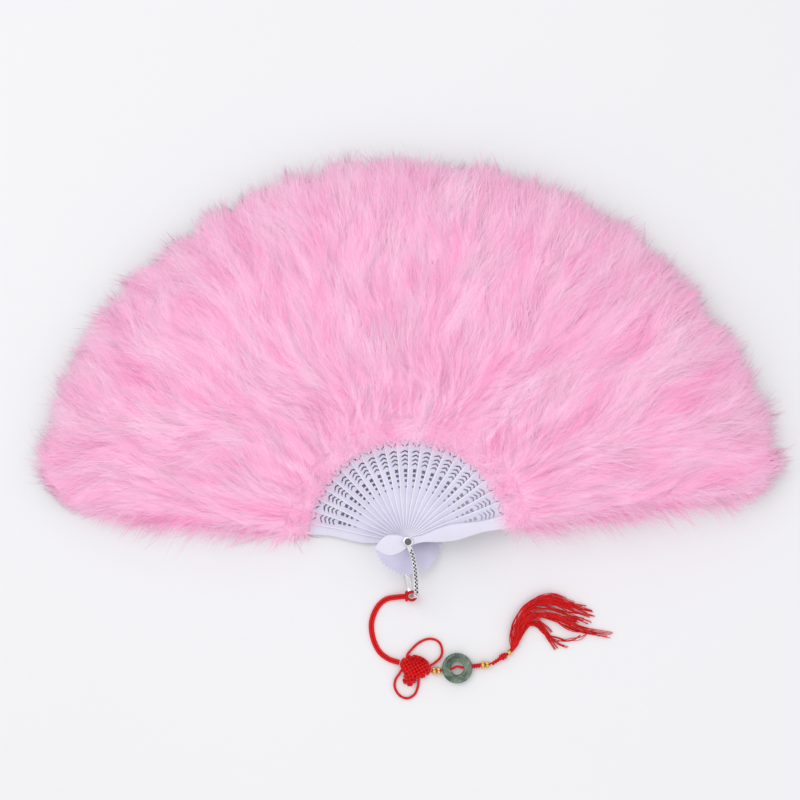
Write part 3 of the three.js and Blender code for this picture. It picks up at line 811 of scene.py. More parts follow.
def made_once(maker, name, *given):
    """The material of that name, made if there is none yet."""
    return bpy.data.materials.get(name) or maker(name, *given)


def darker(colour, share):
    return tuple(share * c for c in colour)


def red_silk(kind, *winding):
    settings = bpy.context.scene.fan_tassel
    return made_once(silk_finish, f"red silk {kind}", settings.silk, settings.silk_shade, *winding)


def gold_plate():
    gold = bpy.context.scene.fan_tassel.gold
    return made_once(metal_finish, "gold", gold, darker(gold, 0.7), 0.16, 0.00001)


def colour_of(red, green, blue):
    """A colour given in display values from 0 to 255, as the linear values of a shader."""
    shares = [value / 255 for value in (red, green, blue)]
    return tuple(s / 12.92 if s <= 0.04045 else ((s + 0.055) / 1.055) ** 2.4 for s in shares)


def setting(title, note, default, kind=bpy.props.FloatProperty, **limits):
    return kind(name=title, description=note, default=default, **limits)


def colour_setting(title, note, default):
    return setting(title, note, colour_of(*default), bpy.props.FloatVectorProperty,
                   subtype="COLOR", size=3, min=0, max=1)


def length_setting(title, note, default, low, high):
    return setting(title, note, default * MM, unit="LENGTH", min=low * MM, max=high * MM,
                   precision=5)


def whole_setting(title, note, default, **limits):
    return setting(title, note, default, bpy.props.IntProperty, **limits)


# ---- settings ----
class FanStageSettings(bpy.types.PropertyGroup):
    """The floor, the lamps and the camera."""

    floor: colour_setting("Floor", "Colour of the floor", (240, 240, 243))
    lamp: setting("Lamp", "Power of the large lamp overhead", 5.0, unit="POWER", min=0)
    sky: setting("Sky", "Strength of the even light all round", 0.8, min=0)
    lens: setting("Lens", "Focal length of the camera", 200.0, unit="CAMERA", min=10)
    frame_width: length_setting("Frame width", "Width that the camera sees", 528, 100, 2000)
    roll: setting("Roll", "Turn of the camera about its own line", math.radians(-2),
                  subtype="ANGLE")


class FanDownSettings(bpy.types.PropertyGroup):
    """The down on the ribs."""

    colour: colour_setting("Colour", "Colour of the barbs' tips", (255, 217, 240))
    # The shade is painted shade at the barbs' roots, where the down lies deep; the ribbon's weave
    # also uses it as its deeper thread tone.
    shade: colour_setting("Shade", "Colour at the barbs' roots", (255, 146, 200))
    barbs: whole_setting("Barbs", "Barbs on each plume", 3000, min=600, max=8000)
    radius: length_setting("Radius", "Radius of a barb at its middle", 0.14, 0.05, 1)
    length: length_setting("Length", "Usual length of a barb", 34, 5, 80)
    seed: whole_setting("Seed", "Start of the barbs' random places", 7, min=0)


class FanPlasticSettings(bpy.types.PropertyGroup):
    """The sticks and guards."""

    stick: colour_setting("Stick", "Colour of the pierced sticks", (222, 220, 240))
    stick_shade: colour_setting("Stick shade", "Deeper tone of the sticks", (206, 203, 228))
    guard: colour_setting("Guard", "Colour of the guards", (228, 225, 243))
    # The rims are paler than the sticks: a painted highlight along their raised edges.
    rim: colour_setting("Rim", "Colour of the raised rims", (238, 236, 248))
    rim_width: length_setting("Rim width", "Width of the raised rims", 0.9, 0.2, 3)


class FanTasselSettings(bpy.types.PropertyGroup):
    """The cord, the knot, the beads and the tassel."""

    silk: colour_setting("Silk", "Colour of the red silk", (240, 14, 18))
    # The silk's shade is painted shade in the grooves of its twisted threads, mixed with its own
    # uneven tone.
    silk_shade: colour_setting("Silk shade", "Deeper tone of the silk", (190, 6, 12))
    gold: colour_setting("Gold", "Colour of the gold beads", (252, 205, 120))
    stone: colour_setting("Stone", "Colour of the stone disc", (162, 184, 162))
    stone_shade: colour_setting("Stone shade", "Deep tone of the stone", (58, 92, 70))
    stone_vein: colour_setting("Stone vein", "Pale veins of the stone", (208, 220, 200))
    threads: whole_setting("Threads", "Threads in the tassel", 144, min=15, max=600)
    seed: whole_setting("Seed", "Start of the threads' random places", 5, min=0)


class FanMetalSettings(bpy.types.PropertyGroup):
    """The bail and the rivet."""

    silver: colour_setting("Silver", "Colour of the bail", (238, 238, 242))
    steel: colour_setting("Steel", "Colour of the rivet", (120, 120, 128))
    plait: length_setting("Plait", "Pitch of the bail's plaited relief", 2.5, 0.5, 6)


# ---- pieces ----
class FAN_OT_stage(bpy.types.Operator):
    """Adds the camera, the lamps and the floor"""

    bl_idname = "fan.stage"
    bl_label = "Stage"

    def execute(self, context):
        settings = context.scene.fan_stage
        scene = context.scene
        scene.view_settings.view_transform = "Standard"
        world = bpy.data.worlds.new("even sky")
        world.use_nodes = True
        sky = world.node_tree
        feed(sky, sky.nodes["Background"], Color=(1, 1, 1, 1), Strength=settings.sky)
        scene.world = world

        camera = bpy.data.cameras.new("camera")
        camera.lens = settings.lens
        camera.sensor_width = 36
        height = settings.frame_width * camera.lens / camera.sensor_width
        looking = put("camera", camera)
        turn = settings.roll
        looking.location = (*along_arm(turn, *VIEW_CENTRE), height + VIEW_HEIGHT)
        looking.rotation_euler = (0, 0, turn)
        scene.camera = looking

        for name, place, power, size in (
            ("key lamp", (-0.5, 0.45, 1.35), settings.lamp, 0.9),
            ("fill lamp", (0.7, -0.5, 1.1), settings.lamp * 0.4, 1.2),
        ):
            lamp = bpy.data.lights.new(name, "AREA")
            lamp.energy = power
            lamp.size = size
            hung = put(name, lamp)
            hung.location = place
            aim = Vector((0, 0.08, 0)) - Vector(place)
            hung.rotation_euler = aim.to_track_quat("-Z", "Y").to_euler()

        bm = bmesh.new()
        bmesh.ops.create_grid(bm, x_segments=1, y_segments=1, size=6)
        bmesh.ops.translate(bm, verts=bm.verts[:], vec=(0, 0, -0.0001))
        floor = put("floor", mesh_of(bm, "floor"))
        material, tree, shader, place = new_finish(
            "pale floor", Specular_IOR_Level=0.1, Roughness=0.9)
        feed(tree, shader, Base_Color=blend_colours(
            tree, mottled(tree, place, 3, 0.6), darker(settings.floor, 0.985), settings.floor))
        floor.data.materials.append(material)
        return {"FINISHED"}


def bail_bar_place(height):
    """The bail's end bar leans from one leg to the other, so its place depends on the height."""
    middle = (REAR_EYE_Z + FRONT_EYE_Z + BAIL_THICKNESS) / 2
    straight_end = FRONT_EYE_Z + BAIL_THICKNESS / 2 - BAIL_CORNER
    side = BAIL_BOW * BAR_SHARE * (height - middle) / (straight_end - middle)
    return (BAIL_REACH * level_heading(BAIL_HEADING_DEG)
            + side * level_heading(BAIL_HEADING_DEG + 90) + (0, 0, height))


class FAN_OT_cord(bpy.types.Operator):
    """Lays the doubled red cord from the bail to the knot, with its hitch round the bail"""

    bl_idname = "fan.cord"
    bl_label = "Red cord"

    def execute(self, context):
        silk = red_silk(*CORD_SILK)
        middle = smooth_line(CORD_ROUTE, 150)
        strands = [beside(middle, side * STRAND_SPACING / 2) for side in (1, -1)]
        centre = bail_bar_place(HITCH_HEIGHT)
        loop = [centre + HITCH_RADIUS * level_heading(turn) for turn in HITCH_TURNS]
        gates = [np.array(HITCH_COLLAR) + (0, side * HITCH_GATE, 0) for side in (-1, 1)]
        lead = [strands[0][4], strands[0][0], gates[0], *loop, gates[1], strands[1][0],
                strands[1][4]]
        turns = np.linspace(0, 2 * math.pi, 41)
        collar = HITCH_COLLAR + np.stack([np.sin(turns), np.cos(turns), np.sin(turns)],
                                         axis=1) * COLLAR_SIZE
        wraps = [tubes(smooth_line(lead, 70), STRAND_DIAMETER / 2, 14),
                 tubes(collar, COLLAR_RADIUS, 14)]
        hitch = hang("cord_hitch", together(wraps, "hitch"), silk, "red_silk")
        cord = hang("cord_strands", tubes(strands, STRAND_DIAMETER / 2, 14), silk, "red_silk",
                    "red_cord")
        return {"FINISHED"}


def woven_lines(place, half_length, half_width, tilt_deg, spacing, rise, floor):
    """Two lines that cross each other over and under on a slant inside an oval."""
    tilt = math.radians(tilt_deg)
    lines = []
    for family in (0, 1):
        points = []
        rows = int(math.hypot(half_length, half_width) / math.sqrt(2) / spacing)
        for row in range(-rows, rows + 1):
            q = row * spacing
            a = 0.5 / half_length**2 + 0.5 / half_width**2
            b = q * (1 / half_width**2 - 1 / half_length**2)
            c = a * q * q - 1
            root = b * b - 4 * a * c
            if root <= (1.5 * spacing * a) ** 2:
                continue
            ends = sorted(((-b - math.sqrt(root)) / (2 * a), (-b + math.sqrt(root)) / (2 * a)))
            run = np.arange(ends[0], ends[1] + 0.01, spacing / 4)
            for p in run if row % 2 else run[::-1]:
                wave = math.cos(math.pi * p / spacing + math.pi * row) * (-1 if family else 1)
                points.append((p, q, wave))
        line = []
        for p, q, wave in points:
            u, v = ((p - q), (p + q)) if family == 0 else ((q - p), (q + p))
            u, v = u / math.sqrt(2), v / math.sqrt(2)
            dome = max(0, 1 - (u / half_length) ** 2 - (v / half_width) ** 2)
            line.append((place[0] + u * math.cos(tilt) - v * math.sin(tilt),
                         place[1] + u * math.sin(tilt) + v * math.cos(tilt),
                         floor + rise * wave + 0.9 * dome))
        lines.append(line)
    return lines


class FAN_OT_knot(bpy.types.Operator):
    """Weaves the flat knot with its two ears, its coil and its lower collar"""

    bl_idname = "fan.knot"
    bl_label = "Knot"

    def execute(self, context):
        radius = CORD_DIAMETER / 2
        weaves = [line for oval in KNOT_OVALS for line in woven_lines(*oval)]
        meshes = [tubes(smooth_line(line, 3 * len(line)), radius * 1.08, 9) for line in weaves]
        meshes += [tubes(smooth_line(ear, 70), radius, 12) for ear in (UPPER_EAR, LOWER_EAR)]
        for place, size in KNOT_COILS:
            turns = np.linspace(0, 2.15 * math.pi, 40)
            coil = np.stack([place[0] + size * np.cos(turns), place[1] + size * np.sin(turns),
                             place[2] + 0.12 * turns], axis=1)
            meshes.append(tubes(coil, radius * 0.8, 9))
        hang("knot_weave", together(meshes, "knot"), red_silk(*KNOT_SILK), "red_silk",
             "tassel_knot")
        return {"FINISHED"}


class FAN_OT_chain(bpy.types.Operator):
    """Strings the gold clusters, the stone disc and the wound thread on their cord"""

    bl_idname = "fan.chain"
    bl_label = "Beads and disc"

    def execute(self, context):
        settings = context.scene.fan_tassel
        silk, gold = red_silk(*CORD_SILK), gold_plate()
        reach = np.linspace(-0.3, CHAIN_LENGTH + 0.5, 120)
        line = np.array([along_chain(d) for d in reach])
        hump = np.clip(1 - np.abs(reach - DISC_PLACE) / DISC_HOLE, 0, 1)
        rise = level_heading(CHAIN_HEADING_DEG + 90) + (0, 0, 0.3)
        line += np.outer(1.1 * hump**2 * (3 - 2 * hump), rise)
        hang("chain_thread", tubes(line, CORD_DIAMETER / 2, 12), silk, "red_silk", "tassel_cord")

        for which, place in (("upper", UPPER_BEAD), ("lower", LOWER_BEAD)):
            bm = bmesh.new()
            for side in (-1, 1):
                for i in range(4):
                    turn = 2 * math.pi * (i + (0.5 if side > 0 else 0)) / 4
                    out = BEAD_RADIUS - BEAD_BALL_RADIUS
                    at = Matrix.Translation((out * math.cos(turn), out * math.sin(turn),
                                             side * (BEAD_LENGTH / 2 - BEAD_BALL_RADIUS)))
                    bmesh.ops.create_uvsphere(bm, u_segments=18, v_segments=12,
                                              radius=BEAD_BALL_RADIUS, matrix=at)
            cluster = laid(mesh_of(bm, "cluster"), along_chain(place), CHAIN_HEADING_DEG)
            hang(f"{which}_gold_cluster", cluster, gold, "gold_metal", f"{which}_gold_bead")

        half = DISC_THICKNESS / 2
        middle = (DISC_RADIUS + DISC_HOLE) / 2
        wide = (DISC_RADIUS - DISC_HOLE) / 2
        profile = []
        for i in range(32):
            turn = 2 * math.pi * i / 32
            c, s = math.cos(turn), math.sin(turn)
            profile.append((middle + wide * math.copysign(abs(c) ** 0.6, c),
                            half * math.copysign(abs(s) ** 0.5, s)))
        disc = spun(profile, 72)
        disc.transform(Matrix.Translation(along_chain(DISC_PLACE)))
        stone = made_once(stone_finish, "jade stone", context.scene.fan_tassel)
        hang("stone_disc", disc, stone, "jade_stone", "jade_disc")

        wound = helix(along_chain(WINDING_PLACE), CHAIN_HEADING_DEG, WINDING_LENGTH,
                      lambda share: 1.05, 1.7)
        hang("wound_thread", tubes(wound, 0.65, 8), silk, "red_silk")
        return {"FINISHED"}


def helix(start, heading_deg, length, radius_at, pitch):
    """Points that wind round a level line from start, radius_at giving their distance from it."""
    count = max(24, int(length / pitch * 16))
    share = np.linspace(0, 1, count)
    turns = 2 * math.pi * length / pitch * share
    onward = level_heading(heading_deg)
    sideways = level_heading(heading_deg + 90)
    radius = np.array([radius_at(s) for s in share])
    return (np.array(start) + np.outer(length * share, onward)
            + np.outer(radius * np.cos(turns), sideways)
            + np.outer(radius * np.sin(turns), (0, 0, 1)))


class FAN_OT_binding(bpy.types.Operator):
    """Winds the binding above the tassel and adds the gold ring"""

    bl_idname = "fan.binding"
    bl_label = "Binding and ring"

    def execute(self, context):
        shares, swells = zip(*BINDING_SHARES)
        thread = 0.7

        def outer(share):
            swell = float(np.interp(share, shares, swells))
            return BINDING_RADIUS + (BINDING_KNOT_RADIUS - BINDING_RADIUS) * swell

        wound = helix(binding_start(), BINDING_HEADING_DEG, BINDING_LENGTH,
                      lambda share: outer(share) - thread, 2 * thread * 1.3)
        profile = [(0, 0)] + [(outer(s) - thread + 0.1, BINDING_LENGTH * s)
                              for s in np.linspace(0, 1, 15)] + [(0, BINDING_LENGTH)]
        core = spun(profile, 20, closed=False)
        core.uv_layers.new(name="wrap")
        laid(core, binding_start(), BINDING_HEADING_DEG)
        hang("binding_thread", together([tubes(wound, thread, 7), core], "binding"),
             red_silk(*KNOT_SILK), "red_silk", "cord_binding")

        bore = NECK_RADIUS + CLEARANCE
        thick = (RING_RADIUS - bore) / 2
        rings = []
        for place in (RING_LENGTH * 0.27, RING_LENGTH * 0.73):
            circle = [(bore + thick + thick * math.cos(2 * math.pi * i / 12),
                       place + RING_LENGTH * 0.25 * math.sin(2 * math.pi * i / 12))
                      for i in range(12)]
            rings.append(spun(circle, 36))
        start = binding_end() + CLEARANCE * level_heading(BINDING_HEADING_DEG)
        pair = laid(together(rings, "rings"), start, BINDING_HEADING_DEG)
        hang("twin_gold_rings", pair, gold_plate(), "gold_metal", "gold_ring")
        return {"FINISHED"}


class FAN_OT_tassel(bpy.types.Operator):
    """Hangs the threads of the tassel from their ring"""

    bl_idname = "fan.tassel"
    bl_label = "Tassel"

    def execute(self, context):
        settings = context.scene.fan_tassel
        rng = np.random.default_rng(settings.seed)
        onward = level_heading(BINDING_HEADING_DEG)
        mouth = binding_end() + onward * (2 * CLEARANCE + RING_LENGTH)
        inside = mouth - onward * (RING_LENGTH + CLEARANCE)
        locks = [smooth_line([mouth, *lock], 40) for lock in LOCKS]
        side = np.array((-onward[1], onward[0], 0))
        lines, radii = [], []
        for i in range(settings.threads):
            if i % 3 == 0:
                at = rng.uniform(0, len(locks) - 1.001)
                cut = rng.uniform(0.78, 1)
                swing = rng.uniform(0.5, 2)
                way = rng.uniform(0, 2 * math.pi)
                out = np.array((math.cos(way), math.sin(way), 0)) * rng.uniform(0, 1) ** 0.6
                tempo, phase = rng.uniform(5, 16), rng.uniform(0, 6)
                level = rng.uniform(-1, 1)
                seat = rng.normal(0, 0.33, 2)
            low = int(at)
            middle = (1 - at + low) * locks[low] + (at - low) * locks[low + 1]
            middle = middle[: int(len(middle) * (cut - rng.uniform(0, 0.06))) + 1]
            share = np.linspace(0, 1, len(middle))[:, None]
            spread = 0.5 + 2.9 * np.exp(-((share - 0.2) / 0.17) ** 2) + 2.2 * share**2
            sway = np.sin(share * tempo + phase) * swing * share**0.7
            loose = rng.normal(0, 0.2, 3) * (0.6 + 1.6 * share)
            middle = middle + out * spread + sway * np.array((-0.3, 1, 0)) + loose
            middle[:, 2] += level * (1 - 0.6 * share[:, 0])
            middle[:, 2] = np.maximum(middle[:, 2], 0.35 + rng.uniform(0, 0.5))
            own = seat + rng.normal(0, 0.12, 2)
            root = inside + side * own[0] + np.array((0, 0, own[1]))
            gate = mouth + side * own[0] * 1.4 + np.array((0, 0, own[1] * 1.4))
            lines.append(smooth_line([root, gate, *middle[5::3]], TASSEL_RINGS))
            radii.append(np.full(TASSEL_RINGS, rng.uniform(0.2, 0.29)))
        hang("tassel_threads", tubes(lines, radii, 6), red_silk(*THREAD_SILK), "red_silk",
             "tassel_skirt")
        return {"FINISHED"}


def bail_frames(count):
    """Evenly spaced points down the bail's strip, with its sideways and outward directions."""
    low, high = REAR_EYE_Z + BAIL_THICKNESS / 2, FRONT_EYE_Z + BAIL_THICKNESS / 2
    slack = BAIL_CORNER * (1 - math.sqrt(0.5))
    upper = [((BAIL_EYE_RADIUS + PIN_BORE) / 2, 0, high)]
    upper += [((BAIL_REACH - BAIL_CORNER) * along, BAIL_BOW * bow, high)
              for along, bow in LEG_SHARES]
    side = BAIL_BOW * BAR_SHARE
    upper += [(BAIL_REACH - slack, side, high - slack), (BAIL_REACH, side, high - BAIL_CORNER)]
    lower = [(x, -y, high + low - z) for x, y, z in reversed(upper)]
    line = smooth_line(upper + lower, count)
    along = unit(np.gradient(line, axis=0))
    sideways = unit(np.array((0, 1, 0)) - along[:, 1:2] * along)
    return line, sideways, np.cross(along, sideways)


class FAN_OT_bail(bpy.types.Operator):
    """Bends the bail's strip and lays the plaited relief on its outer face"""

    bl_idname = "fan.bail"
    bl_label = "Bail"

    def execute(self, context):
        settings = context.scene.fan_metal
        silver = made_once(metal_finish, "silver", settings.silver, darker(settings.silver, 0.8),
                           0.2, 0.000012)
        rings = 110
        line, sideways, outward = bail_frames(rings)
        deep = BAIL_THICKNESS / 2
        strip = rod(16, rings)
        points = read_points(strip)
        ring = np.rint(points[:, 2] * (rings - 1)).astype(int)
        square = np.sign(points[:, :2]) * np.abs(points[:, :2]) ** 0.45
        across = square[:, :1] * (BAIL_WIDTH / 2 - 0.05)
        lift = square[:, 1:] * (deep - STRIP_INSET / 2) - STRIP_INSET / 2
        write_points(strip, line[ring] + across * sideways[ring] + lift * outward[ring])

        fine, fine_side, fine_out = bail_frames(600)
        fine_along = unit(np.gradient(fine, axis=0))
        step = np.linalg.norm(fine[1] - fine[0])
        relief = range(int(4 / step), int(BAIL_REACH / step), int(settings.plait / MM / 2 / step))
        bm = bmesh.new()
        bmesh.ops.create_uvsphere(bm, u_segments=10, v_segments=6, radius=1)
        bmesh.ops.scale(bm, verts=bm.verts[:], vec=LUMP_SIZE)
        lumps = copies(mesh_of(bm, "lump"), len(relief))
        shape = read_points(lumps).reshape(len(relief), -1, 3)
        for i, at in enumerate(relief):
            row = 1 if i % 2 else -1
            lean = math.radians(LUMP_LEAN_DEG) * row
            x, y = along_arm(lean, shape[i, :, 0:1], shape[i, :, 1:2])
            centre = (fine[at] + LUMP_OFFSET * row * fine_side[at]
                      + (deep - LUMP_DEPTH) * fine_out[at])
            shape[i] = (centre + x * fine_side[at] + y * fine_along[at]
                        + shape[i, :, 2:3] * fine_out[at])
        write_points(lumps, shape.reshape(-1, 3))
        # The bed is a dark strip under the lumps: painted shade in the relief's recesses.
        bed = fine[relief[0] - 4:relief[-1] + 4:6] + (deep - BED_DEPTH) * fine_out[relief[0]]
        bed = tubes(bed, BAIL_WIDTH / 2 - BED_MARGIN, 8, up=(0, 0, 1), flat=0.1)

        eyes = []
        for z in (FRONT_EYE_Z, REAR_EYE_Z):
            soft = EYE_ROUNDING
            low, high = z, z + BAIL_THICKNESS
            profile = [
                (PIN_BORE, low + soft), (PIN_BORE + soft, low), (BAIL_EYE_RADIUS - soft, low),
                (BAIL_EYE_RADIUS, low + soft), (BAIL_EYE_RADIUS, high - soft),
                (BAIL_EYE_RADIUS - soft, high), (PIN_BORE + soft, high), (PIN_BORE, high - soft),
            ]
            eyes.append(spun(profile, 48))
        for mesh in (strip, lumps, bed):
            turned(mesh, math.radians(BAIL_HEADING_DEG))
        # A very dark steel colour for the bed, painted shade in the relief's recesses.
        steel = made_once(metal_finish, "blackened steel", darker(settings.steel, 0.3),
                          darker(settings.steel, 0.15), 0.5, 0.000012)
        show("bail_relief_bed", bed, "bail_body", steel, "dark_steel", dangling=True)
        show("plaited_bail", together([strip, lumps, *eyes], "bail"), "bail_body", silver,
             "silver_metal", "bail", dangling=True, sharp_deg=50)
        return {"FINISHED"}


def finish_node(name, material):
    """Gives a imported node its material."""
    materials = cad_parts[name].data.materials
    materials.clear()
    materials.append(material)


def guard_outline():
    """Half of a guard's outline, from the end of its tail to the tip of its rib."""
    tail = [(-TAIL_LENGTH * along, TAIL_WIDTH / 2 * across) for along, across in TAIL_SHARES]
    blade = [(BLADE_LENGTH * along, BLADE_WIDTH / 2 * across) for along, across in GUARD_SHARES]
    points = tail + [(0, NECK_WIDTH / 2)] + blade
    line = smooth_line([(x, y, 0) for x, y in points], 60)[:, :2]
    return [*map(tuple, line), (83, 1.8), (RIB_END, 0.8)]


class FAN_OT_sticks(bpy.types.Operator):
    """Finishes the sticks, adds their raised rims in a paler plastic, a painted highlight, and
    moulds the two guards
    """

    bl_idname = "fan.sticks"
    bl_label = "Sticks and guards"

    def execute(self, context):
        settings = context.scene.fan_plastic
        plain = plastic_finish("stick plastic", settings.stick, settings.stick_shade, 0.3, 0.00001)
        guard = plastic_finish("guard plastic", settings.guard, darker(settings.guard, 0.93), 0.24,
                               0.000008)
        # The rims' paler plastic is a painted highlight along the sticks' raised edges.
        raised = plastic_finish("rim highlight plastic", settings.rim, darker(settings.rim, 0.96), 0.22,
                                0.000004)
        shares = [(0, NECK_WIDTH / BLADE_WIDTH), *BLADE_SHARES]
        half = settings.rim_width / MM / 2
        edge = smooth_line(
            [(BLADE_LENGTH * along, BLADE_WIDTH / 2 * across - half, 0)
             for along, across in shares], 40)
        for k in range(1, LAST):
            finish_node(f"stick_{k:02d}", plain)
            both = np.stack([edge, edge * (1, -1, 1)]) + (0, 0, stick_top(k) - 0.03)
            rims = tubes(both, half, 8, up=(0, 0, 1), flat=0.19 / half)
            show(f"stick_{k:02d}_rims", turned(rims, arm_angle(k)), body_of(k), raised,
                 "stick_plastic")
        for k, node in ((0, "rear_guard"), (LAST, "front_guard")):
            show(f"{node}_moulding", self.guard(k), body_of(k), guard, "guard_plastic", node,
                 sharp_deg=40)
        return {"FINISHED"}

    def guard(self, k):
        """A guard with rounded edges and the bore of the pin."""
        bm = bmesh.new()
        outline = guard_outline()
        arc = [(BORE_RADIUS * math.cos(t), BORE_RADIUS * math.sin(t))
               for t in np.linspace(0, math.pi, 13)]
        corners = outline + [(RIB_END, 0), *arc]
        for side in (1, -1):
            verts = [bm.verts.new((x, side * y, stick_bottom(k))) for x, y in corners]
            bm.faces.new(verts if side < 0 else verts[::-1])
        bmesh.ops.remove_doubles(bm, verts=bm.verts[:], dist=1e-4)
        made = bmesh.ops.extrude_face_region(bm, geom=bm.faces[:])
        top = [v for v in made["geom"] if isinstance(v, bmesh.types.BMVert)]
        bmesh.ops.translate(bm, verts=top, vec=(0, 0, GUARD_THICKNESS))
        bmesh.ops.recalc_face_normals(bm, faces=bm.faces[:])
        edges = [e for e in bm.edges if len(e.link_faces) == 2 and e.calc_face_angle() > 0.9
                 and abs(e.verts[0].co.z - e.verts[1].co.z) < 0.1]
        bmesh.ops.bevel(bm, geom=edges, offset=0.55, offset_type="OFFSET", affect="EDGES",
                        segments=4, profile=0.5, material=-1, clamp_overlap=True)
        return turned(mesh_of(bm, "guard"), arm_angle(k))


class FAN_OT_rivet(bpy.types.Operator):
    """Finishes the rivet's caps and pin"""

    bl_idname = "fan.rivet"
    bl_label = "Rivet"

    def execute(self, context):
        settings = context.scene.fan_metal
        steel = metal_finish("dark steel", settings.steel, darker(settings.steel, 0.5), 0.3,
                             0.00001)
        for name in ("rear_rivet_cap", "pivot_pin", "front_rivet_cap"):
            finish_node(name, steel)
        return {"FINISHED"}


class FAN_OT_ribbon(bpy.types.Operator):
    """Lays the ribbon that links the ribs, a length of it on each stick"""

    bl_idname = "fan.ribbon"
    bl_label = "Linking ribbon"

    def execute(self, context):
        satin = made_once(satin_finish, "pink ribbon", context.scene.fan_down)
        pitch = math.radians(OPENING_DEG) / LAST
        for k in range(LAST + 1):
            floor = REAR_GUARD_Z + GUARD_THICKNESS + k * LAYER_PITCH + CLEARANCE
            first = 0.0 if k == LAST else -pitch / 2
            last = 0.0 if k == 0 else pitch / 2
            turns = np.linspace(first, last, 9) + arm_angle(k)
            rise = (arm_angle(k) - turns) / pitch
            line = np.stack([RIBBON_RADIUS * np.cos(turns), RIBBON_RADIUS * np.sin(turns),
                             floor + rise + RIBBON_THICKNESS / 2], axis=1)
            strip = tubes(line, RIBBON_WIDTH / 2, 8, up=(0, 0, 1),
                          flat=RIBBON_THICKNESS / RIBBON_WIDTH)
            show(f"ribbon_{k:02d}", strip, body_of(k), satin, "pink_ribbon",
                 *(["linking_ribbon"] if k == 0 else []))
        return {"FINISHED"}


